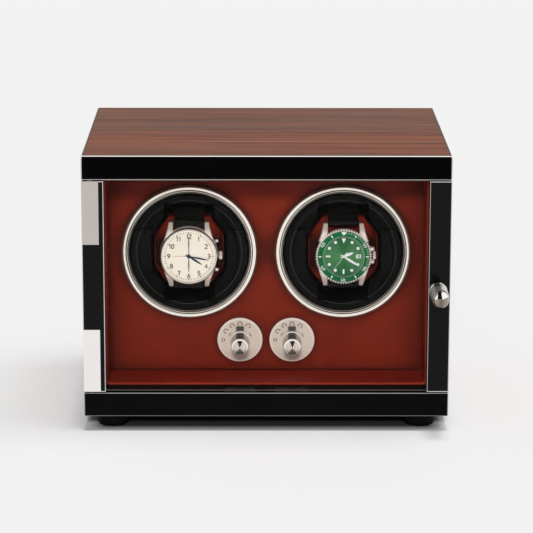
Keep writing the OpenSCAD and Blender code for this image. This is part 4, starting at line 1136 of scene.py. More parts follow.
def lugSurface(side, signX, signZ):
    # Rows run from inside the case out to the bar, between a front and a back curve that close round it
    centre = place(side)
    radius = watches[side]["diameter"] / 2
    bar = watches[side]["barHeight"]
    tip = case["lugTip"]
    start = math.sqrt(radius ** 2 - 13 ** 2) - 5.0
    shank = np.linspace(start, bar, 26)
    heights = np.concatenate([shank, bar + tip * np.sin(np.linspace(0.12, np.pi / 2, 10))])
    u = np.clip((heights - start) / (bar - start), 0, 1)
    rounded = np.sqrt(np.clip(tip ** 2 - np.clip(heights - bar, 0, None) ** 2, 0.0004, None))
    front = np.where(heights > bar, strap["barDepth"] - rounded,
                     case["front"] + 2.2 + (strap["barDepth"] - tip - case["front"] - 2.2) * u ** 1.9)
    back = np.where(heights > bar, strap["barDepth"] + rounded * 0.95,
                    case["back"] - 0.9 + (strap["barDepth"] + tip * 0.95 - case["back"] + 0.9) * u)
    angle = np.linspace(0, 2 * np.pi, 32, endpoint=False)
    across = powered(np.cos(angle), 0.35)
    deep = powered(np.sin(angle), 0.35)
    beyond = np.clip((heights - bar) / tip, 0, 1)
    outer = case["lugOuter"] + case["lugFlare"] * (1 - u) ** 1.3 - 0.5 * beyond ** 2
    wide = (outer - case["lugInner"]) / 2
    spread = (outer + case["lugInner"]) / 2
    x = centre[0] + (signX * spread[:, None] + wide[:, None] * across[None, :]) * mm
    depth = (front + back)[:, None] / 2 + ((back - front) / 2)[:, None] * deep[None, :]
    y = frontY + depth * mm
    z = centre[2] + signZ * np.broadcast_to(heights[:, None], depth.shape) * mm
    verts = np.stack([x, y, z], axis=2).reshape(-1, 3)
    rows, columns = depth.shape
    faces = gridFaces(rows, columns, False, True)
    faces += endCaps(rows, columns)
    return verts, faces


def crownGuard(side, sign):
    # A rounded shoulder beside the crown: an ellipsoid with its sines and cosines raised to a power
    rows, columns = 17, 28
    p = case["guard"]
    base = place(side)
    radius = watches[side]["diameter"] / 2
    u = np.linspace(-np.pi / 2, np.pi / 2, rows)[:, None]
    v = np.linspace(0, 2 * np.pi, columns, endpoint=False)[None, :]
    x = radius + p["out"] + p["half"][0] * powered(np.cos(u), 0.7) * powered(np.cos(v), 0.7)
    y = p["depth"] + p["half"][1] * powered(np.cos(u), 0.7) * powered(np.sin(v), 0.7)
    z = sign * p["rise"] + p["half"][2] * powered(np.sin(u), 0.8) + 0 * v
    verts = np.stack([base[0] + x * mm, frontY + y * mm, base[2] + z * mm], axis=2).reshape(-1, 3)
    return verts, gridFaces(rows, columns, False, True)


def makeCase(side):
    # The band is swept round the dial axis. Crown, pushers and spring bars are swept round their own
    centre = place(side)
    r = watches[side]["diameter"] / 2 - watches[side]["bandInset"]
    back, front = case["back"], case["front"]
    band = lathe(inMm([(0, back), (r - 5.0, back), (r - 4.6, back - 0.25), (r - 2.6, back - 0.3),
                       (r - 2.2, back - 0.7), (r - 0.6, back - 1.3), (r - 0.1, back - 1.9),
                       (r, back - 2.6), (r, front + 3.3), (r - 0.12, front + 3.0), (r - 0.5, front + 2.8),
                       (r - 3.4, front + 2.7), (r - 3.4, front + 2.2), (0, front + 2.2)]),
                 (centre[0], frontY, centre[2]), 144)
    lugs = [lugSurface(side, sx, sz) for sx in (-1, 1) for sz in (-1, 1)]
    guards = [crownGuard(side, sign) for sign in (-1, 1)] if watches[side]["guards"] else []
    body = outward(makeObject("watchCase_" + side, *joined([band] + lugs + guards), "caseSide_" + side))
    r = watches[side]["diameter"] / 2
    polished = []
    stem = np.array([centre[0], frontY + (back - 5) * mm, centre[2]])
    teeth = case["teeth"]
    reach = r + case["crownLength"]
    c = case["crownRadius"]
    flute = lambda a, i: 0.11 * mm * np.cos(teeth * a) * (2 <= i <= 5)
    polished.append(axisLathe(inMm([(1.4, r - 1.5), (1.4, r + 0.5), (c - 0.5, r + 0.5), (c - 0.05, r + 0.8),
                                    (c - 0.05, reach - 0.8), (c - 0.4, reach - 0.3), (c - 0.8, reach - 0.15),
                                    (1.6, reach), (1.2, reach - 0.12), (0, reach - 0.12)]),
                              stem, (1, 0, 0), 180, flute))
    if side == "left":
        for angle in case["buttonAngles"]:
            a = math.radians(angle)
            b = case["buttonRadius"]
            reach = r + case["buttonLength"]
            polished.append(axisLathe(inMm([(0.9, r - 1.5), (0.9, r + 0.6), (b - 0.15, r + 0.6),
                                            (b, r + 0.8), (b, reach - 0.5), (b - 0.2, reach - 0.15),
                                            (b - 0.6, reach), (0, reach)]), stem,
                                      (math.cos(a), 0, math.sin(a)), 48))
    for sz in (-1, 1):
        bar = np.array([centre[0] - 11.6 * mm, frontY + strap["barDepth"] * mm,
                        centre[2] + sz * watches[side]["barHeight"] * mm])
        polished.append(axisLathe(inMm([(0, 0), (0.7, 0), (0.7, 23.2), (0, 23.2)]), bar, (1, 0, 0), 24))
    crown = outward(makeObject("watchCrown_" + side, *joined(polished), "polishedSteel"))
    for piece in (body, crown):
        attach(piece, side + "_pillow")
    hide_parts("watch_case_" + side)


for side in sides:
    makeCase(side)


def makeLeftBezel():
    # A smooth ring swept from radius and depth pairs
    centre = place("left")
    r = watches["left"]["diameter"] / 2
    f = case["front"]
    ring = closedLathe(inMm([(r - 0.15, f + 2.9), (r - 0.05, f + 2.2), (r - 0.3, f + 1.2),
                             (r - 0.8, f + 0.45), (r - 1.3, f + 0.12), (r - 1.7, f + 0.18),
                             (r - 1.95, f + 0.5), (r - 2.05, f + 1.5), (r - 2.05, f + 2.9)]),
                       (centre[0], frontY, centre[2]), 160)
    made = outward(makeObject("watchBezel_left", *ring, "polishedSteel"))
    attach(made, "left_pillow")


coinBezel = {"teeth": 64, "toothDepth": 0.6, "insertInner": 14.9, "insertOuter": 18.65, "steps": 960,
             "steel": (0.96, 0.92, 0.86), "notchDark": (0.05, 0.045, 0.04), "notchReach": (1.5, 1.3)}


def makeRightBezel():
    # A swept ring whose outer radii fall into a notch with a clipped cosine, and a flat insert
    centre = place("right")
    r = watches["right"]["diameter"] / 2
    f = case["front"]
    inner, outer = coinBezel["insertInner"], coinBezel["insertOuter"]

    def tooth(angles, index):
        notch = np.clip(1.8 * np.cos(coinBezel["teeth"] * angles), -1, 1) - 0.9
        return coinBezel["toothDepth"] * mm * notch * (index <= 4)

    ring = closedLathe(inMm([(r - 0.9, f + 2.9), (r - 0.1, f + 2.5), (r - 0.05, f + 1.0),
                             (r - 0.3, f + 0.5), (r - 0.9, f + 0.2), (outer + 0.12, f + 0.1),
                             (outer + 0.05, f + 0.35), (inner, f + 0.6), (inner, f + 2.9)]),
                       (centre[0], frontY, centre[2]), coinBezel["steps"], tooth)
    made = outward(makeObject("watchBezel_right", *ring, "coinSteel"))
    insert = closedLathe(inMm([(outer, f + 0.7), (outer, f + 0.22), (outer - 0.15, f + 0.12),
                               (inner + 0.2, f - 0.1), (inner + 0.05, f - 0.02), (inner + 0.02, f + 0.7)]),
                         (centre[0], frontY, centre[2]), 160)
    green = outward(makeObject("bezelInsert_right", *insert, "greenInsert"))
    for piece in (made, green):
        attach(piece, "right_pillow")


def makeCoinSteel():
    # Polished teeth, dark down in the notches
    material, tree, shader, spot = newMaterial("coinSteel", Metallic=0.15, Roughness=0.3)
    radius = useGroup(tree, brushGroup, spot, Centre=tuple(place("right"))).outputs["Radius"]
    r = watches["right"]["diameter"] / 2
    clean = mapRange(tree, radius, *[(r - reach) * mm for reach in coinBezel["notchReach"]])
    wire(tree, mixColour(tree, clean, coinBezel["notchDark"], coinBezel["steel"]), shader.inputs["Base Color"])
    return material


looks["coinSteel"] = makeCoinSteel()
looks["greenInsert"] = makePlastic("greenInsert", (0.006, 0.105, 0.028), 0.16, 0.1, 500, 0.02)
looks["ink"] = makePlastic("dialInk", (0.012, 0.012, 0.013), 0.5, 0.3)
looks["tanPaint"] = makePlastic("tanPaint", (0.50, 0.36, 0.24), 0.5, 0.2)
looks["blued"] = makeMetal("bluedSteel", (0.028, 0.045, 0.085), 0.35, 0.1, 0.02)
looks["lume"] = makePlastic("lumePaint", (0.72, 0.76, 0.70), 0.55, 0.3, 2500, 0.1)
looks["silverPaint"] = makePlastic("silverPaint", (0.62, 0.66, 0.60), 0.4, 0.4, 2500, 0.05)


dialReach = 19.0 * mm


def makeDialLook(name, centre, dark, light, rays, roughness):
    # Sunburst: fine rays about the dial's centre, a painted sheen in fans by angle, with a soft fall of tone
    # towards the rim
    material, tree, shader, spot = newMaterial(name, Roughness=roughness, Specular_IOR_Level=0.1)
    brush = useGroup(tree, brushGroup, spot, Centre=tuple(centre))
    rim = mapRange(tree, brush.outputs["Radius"], 0.0, dialReach)
    ray = noise(tree, scaled(tree, spot, (900, 1, 900)), 1.0, 2.0)
    fan = times(tree, brush.outputs["Fan"], rays)
    mixed = plus(tree, times(tree, rim, 0.45), fan)
    mixed = plus(tree, mixed, times(tree, ray, 0.12))
    wire(tree, mixColour(tree, mapRange(tree, mixed, 0.0, 1.0), light, dark), shader.inputs["Base Color"])
    return material


looks["creamDial"] = makeDialLook("creamDial", place("left"), (0.94, 0.815, 0.665), (1.0, 0.93, 0.81),
                                  0.05, 0.45)
looks["greenDial"] = makeDialLook("greenDial", place("right"), (0.012, 0.105, 0.034), (0.085, 0.265, 0.10),
                                  0.6, 0.3)
makeLeftBezel()
makeRightBezel()
print("watch cases made")


def arcPoints(x, y, rx, ry, start, end, count=14):
    t = np.radians(np.linspace(start, end, count))
    return [(x + rx * math.cos(v), y + ry * math.sin(v)) for v in t]


# Each figure as pen strokes in a box one unit high
figures = {
    "0": [arcPoints(0, 0, 0.29, 0.5, 90, 450, 26)],
    "1": [[(-0.2, 0.28), (0.03, 0.5), (0.03, -0.5)]],
    "2": [arcPoints(0, 0.22, 0.28, 0.28, 165, -35) + [(-0.3, -0.5), (0.32, -0.5)]],
    "3": [arcPoints(-0.02, 0.24, 0.26, 0.26, 150, -90) + arcPoints(-0.02, -0.24, 0.29, 0.26, 90, -150)],
    "4": [[(0.13, -0.5), (0.13, 0.5), (-0.32, -0.2), (0.33, -0.2)]],
    "5": [[(0.25, 0.5), (-0.18, 0.5), (-0.22, 0.08)] + arcPoints(-0.02, -0.2, 0.29, 0.3, 125, -145)],
    "6": [[(0.2, 0.5), (-0.06, 0.32), (-0.24, 0.02)] + arcPoints(0, -0.22, 0.27, 0.28, 165, 525, 24)],
    "7": [[(-0.29, 0.5), (0.29, 0.5), (-0.06, -0.5)]],
    "8": [arcPoints(0, 0.26, 0.22, 0.24, 90, 450, 22), arcPoints(0, -0.24, 0.27, 0.26, 90, 450, 24)],
    "9": [[(-0.2, -0.5), (0.06, -0.32), (0.24, -0.02)] + arcPoints(0, 0.22, 0.27, 0.28, -15, 345, 24)],
}


def stroke(points, width, thickness=0.05):
    # A flat ribbon along the points, its half width mitred at each bend
    line = np.asarray(points, float)
    keep = np.concatenate([[True], np.linalg.norm(np.diff(line, axis=0), axis=1) > 1e-4])
    line = line[keep]
    step = np.diff(line, axis=0)
    step /= np.linalg.norm(step, axis=1, keepdims=True)
    before, after = np.vstack([step[:1], step]), np.vstack([step, step[-1:]])
    along = before + after
    along /= np.linalg.norm(along, axis=1, keepdims=True)
    mitre = np.minimum(1 / np.clip((along * after).sum(axis=1), 0.3, 1), 1.7)
    out = np.stack([-along[:, 1], along[:, 0]], axis=1) * (mitre * width / 2)[:, None]
    n = len(line)
    corners = ((-1, -thickness / 2), (-1, thickness / 2), (1, thickness / 2), (1, -thickness / 2))
    rows = [np.column_stack([line + out * edge, np.full(n, up)]) for edge, up in corners]
    verts = np.stack(rows, axis=1).reshape(-1, 3)
    last = 4 * (n - 1)
    return verts, gridFaces(n, 4, False, True) + [(3, 2, 1, 0), (last, last + 1, last + 2, last + 3)]


def numberShape(text, size, width, spread=0.74):
    # Figures side by side, centred on the origin, in mm
    parts = []
    for index, letter in enumerate(text):
        shift = (index - (len(text) - 1) / 2) * spread * size * (0.8 if "1" in text else 1)
        for points in figures[letter]:
            parts.append(stroke([(x * size + shift, y * size) for x, y in points], width))
    return joined(parts)


def laid(shape, centre, x, z, turn=0.0):
    # Turned clockwise in its plane, then laid on the plane across Y at centre
    verts, faces = shape
    a = math.radians(turn)
    u = verts[:, 0] * math.cos(a) + verts[:, 1] * math.sin(a)
    v = -verts[:, 0] * math.sin(a) + verts[:, 1] * math.cos(a)
    out = np.stack([centre[0] + (u + x) * mm, centre[1] - verts[:, 2] * mm, centre[2] + (v + z) * mm], axis=1)
    return out, faces


def plate(outline, thickness=0.05):
    # A flat outline given a thickness
    flat = np.asarray(outline, float)
    n = len(flat)
    verts = np.concatenate([np.column_stack([flat, np.full(n, -thickness / 2)]),
                            np.column_stack([flat, np.full(n, thickness / 2)])])
    faces = [tuple(range(n))[::-1], tuple(range(n, 2 * n))]
    faces += [(i, (i + 1) % n, n + (i + 1) % n, n + i) for i in range(n)]
    return verts, faces


def bar(width, height):
    return plate([(-width / 2, -height / 2), (width / 2, -height / 2), (width / 2, height / 2),
                  (-width / 2, height / 2)])


def disc(radius, steps=32):
    a = np.linspace(0, 2 * np.pi, steps, endpoint=False)
    return plate(np.column_stack([radius * np.cos(a), radius * np.sin(a)]))


def polar(angle, radius):
    a = math.radians(angle)
    return radius * math.sin(a), radius * math.cos(a)


def arcBand(radius, width, start, end, steps=24):
    # A curved band between two angles, clockwise from 12
    a = np.radians(np.linspace(start, end, steps))
    outer = np.column_stack([(radius + width / 2) * np.sin(a), (radius + width / 2) * np.cos(a)])
    inner = np.column_stack([(radius - width / 2) * np.sin(a), (radius - width / 2) * np.cos(a)])
    return plate(np.concatenate([outer, inner[::-1]])[::-1])


def handShape(tail, reach, widths, rise, angle, centre):
    # Along the hand the half width follows the list; its section is a low ridge
    count = 40
    along = np.linspace(-tail, reach, count)
    half = np.interp((along + tail) / (reach + tail), np.linspace(0, 1, len(widths)), widths)
    a = math.radians(angle)
    d, s = np.array([math.sin(a), math.cos(a)]), np.array([math.cos(a), -math.sin(a)])
    rows = []
    for flank, up in ((-1, 0), (0, rise), (1, 0), (0, -0.06)):
        flat = along[:, None] * d + (half * flank)[:, None] * s
        rows.append(np.stack([centre[0] + flat[:, 0] * mm, np.full(count, centre[1] - up * mm),
                              centre[2] + flat[:, 1] * mm], axis=1))
    verts = np.stack(rows, axis=1).reshape(-1, 3)
    last = 4 * (count - 1)
    return verts, gridFaces(count, 4, False, True) + [(3, 2, 1, 0), (last, last + 1, last + 2, last + 3)]


def finishDial(name, parts, look, side, smooth=False):
    made = outward(makeObject(name, *joined(parts), look, smooth))
    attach(made, side + "_pillow")
    return made


leftDial = {"radius": 18.95, "depth": 38.4, "numeralRadius": 14.5, "numeralSize": 3.1, "numeralStroke": 0.6,
            "minute": 101, "hour": 123, "second": 0, "small": 270, "tickRadius": 17.25,
            "minuteHand": (2.6, 15.0, (0.25, 0.32, 0.5, 0.6, 0.4, 0.06), 0.12),
            "hourHand": (2.3, 11.6, (0.28, 0.4, 0.66, 0.75, 0.5, 0.06), 0.12),
            "secondHand": (11.5, 15.5, (0.16, 0.42, 0.22, 0.2, 0.34, 0.06), 0.05),
            "smallHand": (0.0, 12.4, (0.22, 0.22, 0.22, 0.22, 0.18, 0.1), 0.05)}


def makeLeftDial():
    p = leftDial
    base = place("left")
    centre = (base[0], frontY, base[2])
    d = p["depth"]
    dial = lathe(inMm([(0, d + 0.6), (p["radius"], d + 0.6), (p["radius"], d), (p["radius"] - 0.1, d - 0.05),
                       (12.4, d), (12.3, d + 0.04), (0, d + 0.04)]), centre, 128)
    made = finishDial("dial_left", [dial], "creamDial", "left", True)
    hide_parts("watch_dial_left")
    top = place("left", d - 0.07)
    ink = [laid(bar(0.36 if i % 5 else 0.75, 1.1), top, *polar(i * 6, p["tickRadius"]), i * 6)
           for i in range(60)]
    ink += [laid(numberShape(str(hour), p["numeralSize"], p["numeralStroke"]), top,
                 *polar(hour * 30, p["numeralRadius"])) for hour in range(1, 13)]
    finishDial("dialInk_left", ink, "ink", "left")
    hands = [handShape(*p["minuteHand"], p["minute"], place("left", d - 0.75)),
             handShape(*p["hourHand"], p["hour"], place("left", d - 0.45)),
             handShape(*p["secondHand"], p["second"], place("left", d - 0.95))]
    hub = lathe(inMm([(0, d - 1.1), (1.1, d - 1.1), (1.3, d - 1.0), (1.3, d), (0, d)]), centre, 32)
    finishDial("hands_left", hands + [hub], "blued", "left")
    small = handShape(*p["smallHand"], p["small"], place("left", d - 0.25))
    finishDial("smallHand_left", [small], "tanPaint", "left")


rightDial = {"radius": 14.85, "depth": 38.4, "minute": 122, "hour": 68, "second": 217, "dateNumber": "18",
             "minuteHand": (2.5, 12.6, (0.4, 0.4, 0.8, 0.85, 0.8, 0.06), 0.12),
             "hourHand": (2.5, 7.8, (0.4, 0.4, 0.95, 1.0, 0.9, 0.06), 0.12),
             "secondHand": (4.0, 12.6, (0.3, 0.12, 0.1, 0.1, 0.08, 0.05), 0.05),
             "dots": (1, 2, 4, 5, 7, 8, 10, 11), "dotSize": 1.1, "dotRadius": 11.9, "bar": (1.3, 3.3),
             "barRadius": 11.2, "date": (3.6, 2.8), "dateRadius": 10.7, "tickRadius": 14.1}


def makeRightDial():
    p = rightDial
    base = place("right")
    centre = (base[0], frontY, base[2])
    d = p["depth"]
    dial = lathe(inMm([(0, d + 0.6), (17.2, d + 0.6), (17.2, d + 0.1), (p["radius"], d), (0, d)]),
                 centre, 128)
    made = finishDial("dial_right", [dial], "greenDial", "right", True)
    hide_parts("watch_dial_right")
    top = place("right", d - 0.1)
    marks = [laid(disc(p["dotSize"]), top, *polar(hour * 30, p["dotRadius"])) for hour in p["dots"]]
    marks += [laid(bar(*p["bar"]), top, *polar(180, p["barRadius"])),
              laid(bar(*p["bar"]), top, *polar(270, p["barRadius"]), 270),
              laid(plate([(-1.6, 1.6), (0, -1.9), (1.6, 1.6)][::-1]), top, *polar(0, 11.6)),
              laid(bar(*p["date"]), top, *polar(90, p["dateRadius"]))]
    marks += [laid(bar(0.12 if i % 5 else 0.22, 0.6), top, *polar(i * 6, p["tickRadius"]), i * 6)
              for i in range(60)]
    finishDial("dialMarks_right", marks, "lume", "right")
    ink = [laid(numberShape(p["dateNumber"], 1.9, 0.3), place("right", d - 0.16),
                *polar(90, p["dateRadius"]))]
    finishDial("dateNumber_right", ink, "ink", "right")
    ring = place("right", case["front"] - 0.01)
    middleRadius = (coinBezel["insertInner"] + coinBezel["insertOuter"]) / 2
    paint = [laid(numberShape(str(n), 2.6, 0.42), ring, *polar(n * 6, middleRadius), n * 6)
             for n in (10, 20, 30, 40, 50)]
    paint += [laid(bar(0.85, 2.6), ring, *polar(a, middleRadius), a) for a in (30, 90, 150, 210, 270, 330)]
    paint += [laid(bar(0.3, 1.2), ring, *polar(i * 6, middleRadius + 0.8), i * 6) for i in range(1, 20)
              if i % 5]
    paint += [laid(plate([(-1.9, 1.5), (0, -1.6), (1.9, 1.5)][::-1]), ring, *polar(0, middleRadius))]
    paint += [laid(arcBand(coinBezel["insertInner"] + 0.12, 0.3, i * 90, i * 90 + 90), ring, 0, 0)
              for i in range(4)]
    finishDial("insertPaint_right", paint, "silverPaint", "right")
    hands = [handShape(*p["minuteHand"], p["minute"], place("right", d - 0.75)),
             handShape(*p["hourHand"], p["hour"], place("right", d - 0.45)),
             handShape(*p["secondHand"], p["second"], place("right", d - 0.95))]
    hub = lathe(inMm([(0, d - 1.1), (0.7, d - 1.1), (0.9, d - 1.0), (0.9, d), (0, d)]), centre, 32)
    finishDial("hands_right", hands + [hub], "lume", "right")


makeLeftDial()
makeRightDial()
print("dials made")


def makeCrystalLook():
    material, tree, shader, spot = newMaterial("watchCrystal", Roughness=0.02, Specular_IOR_Level=0.5)
    smear = useGroup(tree, dustGroup, spot).outputs["Smear"]
    wire(tree, mapRange(tree, smear, 0.2, 0.8, 0.01, 0.03), shader.inputs["Alpha"])
    wire(tree, mixColour(tree, smear, (0.08, 0.10, 0.14), (0.12, 0.14, 0.16)), shader.inputs["Base Color"])
    return material


looks["crystal"] = makeCrystalLook()
crystal = {"left": {"radius": 18.45, "rise": 0.55, "edge": 37.1},
           "right": {"radius": 14.85, "rise": 0.25, "edge": 36.6}}


def makeCrystal(side):
    # A shallow dome: depth falls with the square of the radius
    p = crystal[side]
    base = place(side)
    radii = np.linspace(0, p["radius"], 20)
    front = [(r, p["edge"] - p["rise"] * (1 - (r / p["radius"]) ** 2)) for r in radii]
    back = [(r, y + 0.5) for r, y in front[::-1]]
    dome = lathe(inMm(front + back), (base[0], frontY, base[2]), 96)
    made = outward(makeObject("crystal_" + side, *dome, "crystal"))
    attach(made, side + "_pillow")


for side in sides:
    makeCrystal(side)


trimRing = {"outer": 49.7, "inner": 43.5, "proud": 3.6, "face": 54.0, "neck": 63.0,
            "bright": (1.0, 0.93, 0.85), "step": (0.24, 0.12, 0.09), "lip": (0.30, 0.26, 0.22),
            "dark": (0.03, 0.022, 0.018), "grooves": ((0.85, 0.26), (3.97, 0.26), (5.08, 0.26), (0.05, 0.2))}


def makeTrimRing(side):
    # Swept profile: outer step, groove, broad round band, groove, thin bead, groove and inner lip
    p = trimRing
    base = place(side)
    out, inn, f, h = p["outer"], p["inner"], p["face"], p["proud"]
    a = np.linspace(0, np.pi, 22)
    b = np.linspace(0, np.pi, 8)
    broad = [(out - 2.4 + 1.4 * math.cos(t), f - 0.6 * h - 0.4 * h * math.sin(t) ** 0.5) for t in a]
    bead = [(out - 4.52 + 0.38 * math.cos(t), f - 0.7 * h - 0.16 * h * math.sin(t) ** 0.7) for t in b]
    profile = [(out, f + 0.02), (out, f - 0.2 * h), (out - 0.1, f - 0.4 * h), (out - 0.3, f - 0.5 * h),
               (out - 0.6, f - 0.5 * h), (out - 0.72, f - 0.42 * h), (out - 0.98, f - 0.42 * h)]
    profile += broad
    profile += [(out - 3.85, f - 0.5 * h), (out - 4.1, f - 0.5 * h)] + bead
    profile += [(out - 4.94, f - 0.48 * h), (out - 5.15, f - 0.48 * h), (out - 5.3, f - 0.58 * h),
                (out - 5.5, f - 0.66 * h), (out - 5.8, f - 0.64 * h), (inn + 0.02, f - 0.5 * h), (inn, f),
                (inn, p["neck"]), (inn + 0.8, p["neck"]), (inn + 0.8, f + 0.02)]
    ring = closedLathe(inMm(profile), (base[0], frontY, base[2]), 256)
    made = outward(makeObject("trimRing_" + side, *ring, "ring_" + side))
    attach(made, "cabinet")
    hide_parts("bezel_" + side)


def makeRingLook(side):
    # Painted reflections by distance from the ring's axis: bright bands, dark grooves as painted shade, a
    # red-brown outer step and a grey inner lip
    p = trimRing
    material, tree, shader, spot = newMaterial("ringChrome_" + side, Metallic=0.85, Roughness=0.06)
    brush = useGroup(tree, brushGroup, spot, Centre=tuple(place(side)))
    radius = brush.outputs["Radius"]
    groove = None
    for inset, half in p["grooves"]:
        gap = absolute(tree, minus(tree, radius, (p["outer"] - inset) * mm))
        line = mapRange(tree, gap, (half - 0.12) * mm, (half + 0.05) * mm, 1.0, 0.0)
        groove = line if groove is None else larger(tree, groove, line)
    step = mapRange(tree, radius, (p["outer"] - 0.75) * mm, (p["outer"] - 0.6) * mm)
    lip = mapRange(tree, radius, (p["outer"] - 5.2) * mm, (p["outer"] - 5.1) * mm, 1.0, 0.0)
    base = mixColour(tree, step, p["bright"], p["step"])
    base = mixColour(tree, lip, base, p["lip"])
    base = mixColour(tree, groove, base, p["dark"])
    wire(tree, base, shader.inputs["Base Color"])
    return material


for side in sides:
    looks["ring_" + side] = makeRingLook(side)
    makeTrimRing(side)


doorKnob = {"reach": 32.0, "endRadius": 5.85, "white": (1.0, 0.98, 0.95), "grey": (0.16, 0.135, 0.115),
            "paleGrey": (0.42, 0.36, 0.30), "stemGrey": (0.30, 0.275, 0.25), "black": (0.012, 0.011, 0.010),
            "stem": ((1.1, 0.0), (1.1, 0.04), (1.02, 0.06), (0.84, 0.08), (0.8, 0.11), (0.94, 0.14),
                     (1.06, 0.17), (1.06, 0.21), (0.94, 0.24), (0.82, 0.26), (0.82, 0.28), (0.95, 0.305),
                     (1.07, 0.335), (1.07, 0.375), (0.95, 0.405), (0.82, 0.43), (0.82, 0.45), (0.95, 0.475),
                     (1.07, 0.505), (1.07, 0.55), (0.95, 0.58), (0.82, 0.6), (0.82, 0.615), (0.93, 0.63),
                     (0.97, 0.65), (0.9, 0.665), (0.78, 0.68))}


def makeDoorKnobLook(centre):
    # Chrome with painted reflections and shade: black in the grooves and over the last rib, a black block on
    # the ball
    p = doorKnob
    e = p["endRadius"] * mm
    ballAt = float(centre[1]) - (p["reach"] * mm - e)
    material, tree, shader, spot = newMaterial("doorKnobChrome", Metallic=0.8, Roughness=0.1,
                                               Specular_IOR_Level=0.05)
    split = parted(tree, spot)
    share = over(tree, minus(tree, split[0], float(centre[0])), e)
    rise = over(tree, minus(tree, split[2], float(centre[2])), e)
    ahead = over(tree, minus(tree, ballAt, split[1]), e)
    radius = useGroup(tree, brushGroup, spot, Centre=tuple(float(c) for c in centre)).outputs["Radius"]
    ball = mapRange(tree, ahead, -0.66, -0.60)
    stem = minus(tree, 1.0, ball)
    # on the ball, painted reflection: grey under a slanting line that climbs to the right, a black block
    # above it
    slant = minus(tree, times(tree, rise, 0.971), times(tree, ahead, 0.239))
    climb = times(tree, larger(tree, minus(tree, share, 0.15), 0.0), 0.4)
    low = mapRange(tree, minus(tree, slant, climb), 0.02, 0.07, 1.0, 0.0)
    offset = absolute(tree, plus(tree, share, 0.18))
    half = mapRange(tree, slant, 0.0, 0.8, 0.30, 0.20)
    block = times(tree, mapRange(tree, minus(tree, offset, half), -0.02, 0.02, 1.0, 0.0),
                  minus(tree, 1.0, low))
    grey = mixColour(tree, mapRange(tree, absolute(tree, share), 0.0, 0.8), p["grey"], p["paleGrey"])
    # on the stem, painted reflection: grey along the top between white flanks, black grooves, a black patch
    # over the last rib
    top = mapRange(tree, absolute(tree, plus(tree, share, 0.2)), 0.28, 0.42, 1.0, 0.0)
    groove = mapRange(tree, radius, 0.98 * e, 1.04 * e, 0.75, 0.0)
    last = times(tree, mapRange(tree, ahead, -2.9, -3.1), top)
    flank = times(tree, mapRange(tree, share, -0.88, -1.0), 0.5)
    dark = larger(tree, larger(tree, groove, flank), times(tree, last, 0.9))
    base = mixColour(tree, times(tree, low, ball), p["white"], grey)
    base = mixColour(tree, times(tree, times(tree, top, stem), 0.8), base, p["stemGrey"])
    dark = times(tree, dark, stem)
    dark = larger(tree, dark, times(tree, block, ball))
    wire(tree, mixColour(tree, dark, base, p["black"]), shader.inputs["Base Color"])
    return material


def makeDoorKnob():
    # The stem's ribs in shares of the end's radius and the reach, then a ball for the end
    low, high = nodeBox("door_knob")
    p = doorKnob
    e, n = p["endRadius"], p["reach"]
    profile = [(0.0, 0.0)] + [(r * e, -share * n) for r, share in p["stem"]]
    a = np.linspace(-math.acos(p["stem"][-1][0]), np.pi / 2, 32)
    profile += [(e * math.cos(t), -(n - e) - e * math.sin(t)) for t in a]
    centre = ((low[0] + high[0]) / 2, high[1], (low[2] + high[2]) / 2)
    looks["doorKnob"] = makeDoorKnobLook(centre)
    made = outward(makeObject("doorKnob", *lathe(inMm(profile), centre, 96), "doorKnob"))
    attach(made, "door")
    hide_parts("door_knob")


makeDoorKnob()
print("trim made")


hem = {"proud": 0.1, "radius": 0.8, "corner": 3.0, "inset": 1.0, "points": 400}
# The hem's leather is painted lighter than the liners', a painted highlight along their front edges
looks["hemLeather"] = makeLeather("hemLeather", (0.27, 0.030, 0.014), (0.36, 0.045, 0.022), 1.2, 0.4, 0.3)


def sweptTube(path, radius, facing=(0, 1, 0), steps=12):
    # A round section carried round a closed path, with one of its axes held across the given direction
    along = np.roll(path, -1, axis=0) - np.roll(path, 1, axis=0)
    along /= np.linalg.norm(along, axis=1, keepdims=True)
    out = np.cross(along, facing)
    out /= np.linalg.norm(out, axis=1, keepdims=True)
    other = np.cross(out, along)
    a = np.linspace(0, 2 * np.pi, steps, endpoint=False)
    verts = path[:, None, :] + radius * (np.cos(a)[None, :, None] * out[:, None, :]
                                         + np.sin(a)[None, :, None] * other[:, None, :])
    return verts.reshape(-1, 3), gridFaces(len(path), steps, True, True)


def makeHem():
    # A tube round a rectangle with quarter circles for corners, along the liners' front edges
    low, high = nodeBox("side_liners")
    floorLow, floorHigh = nodeBox("floor_liner")
    ceilingLow, ceilingHigh = nodeBox("ceiling_liner")
    half = high[0] - hem["inset"] * mm
    bottom = (floorLow[2] + floorHigh[2]) / 2
    top = (ceilingLow[2] + ceilingHigh[2]) / 2
    corner = hem["corner"] * mm
    points = []
    corners = [(-half, bottom, 180, 270), (half, bottom, 270, 360), (half, top, 0, 90), (-half, top, 90, 180)]
    for x, z, a0, a1 in corners:
        cx = x + corner * (1 if x < 0 else -1)
        cz = z + corner * (1 if z < (bottom + top) / 2 else -1)
        a = np.radians(np.linspace(a0, a1, 12))
        points += list(zip(cx + corner * np.cos(a), cz + corner * np.sin(a)))
    points = np.array(points)
    ring = np.concatenate([points, points[:1]])
    s = np.concatenate([[0], np.cumsum(np.linalg.norm(np.diff(ring, axis=0), axis=1))])
    even = np.linspace(0, s[-1], hem["points"], endpoint=False)
    path = np.stack([np.interp(even, s, ring[:, 0]), np.full(hem["points"], low[1] - hem["proud"] * mm),
                     np.interp(even, s, ring[:, 1])], axis=1)
    made = outward(makeObject("linerHem", *sweptTube(path, hem["radius"] * mm), "hemLeather"))
    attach(made, "cabinet")


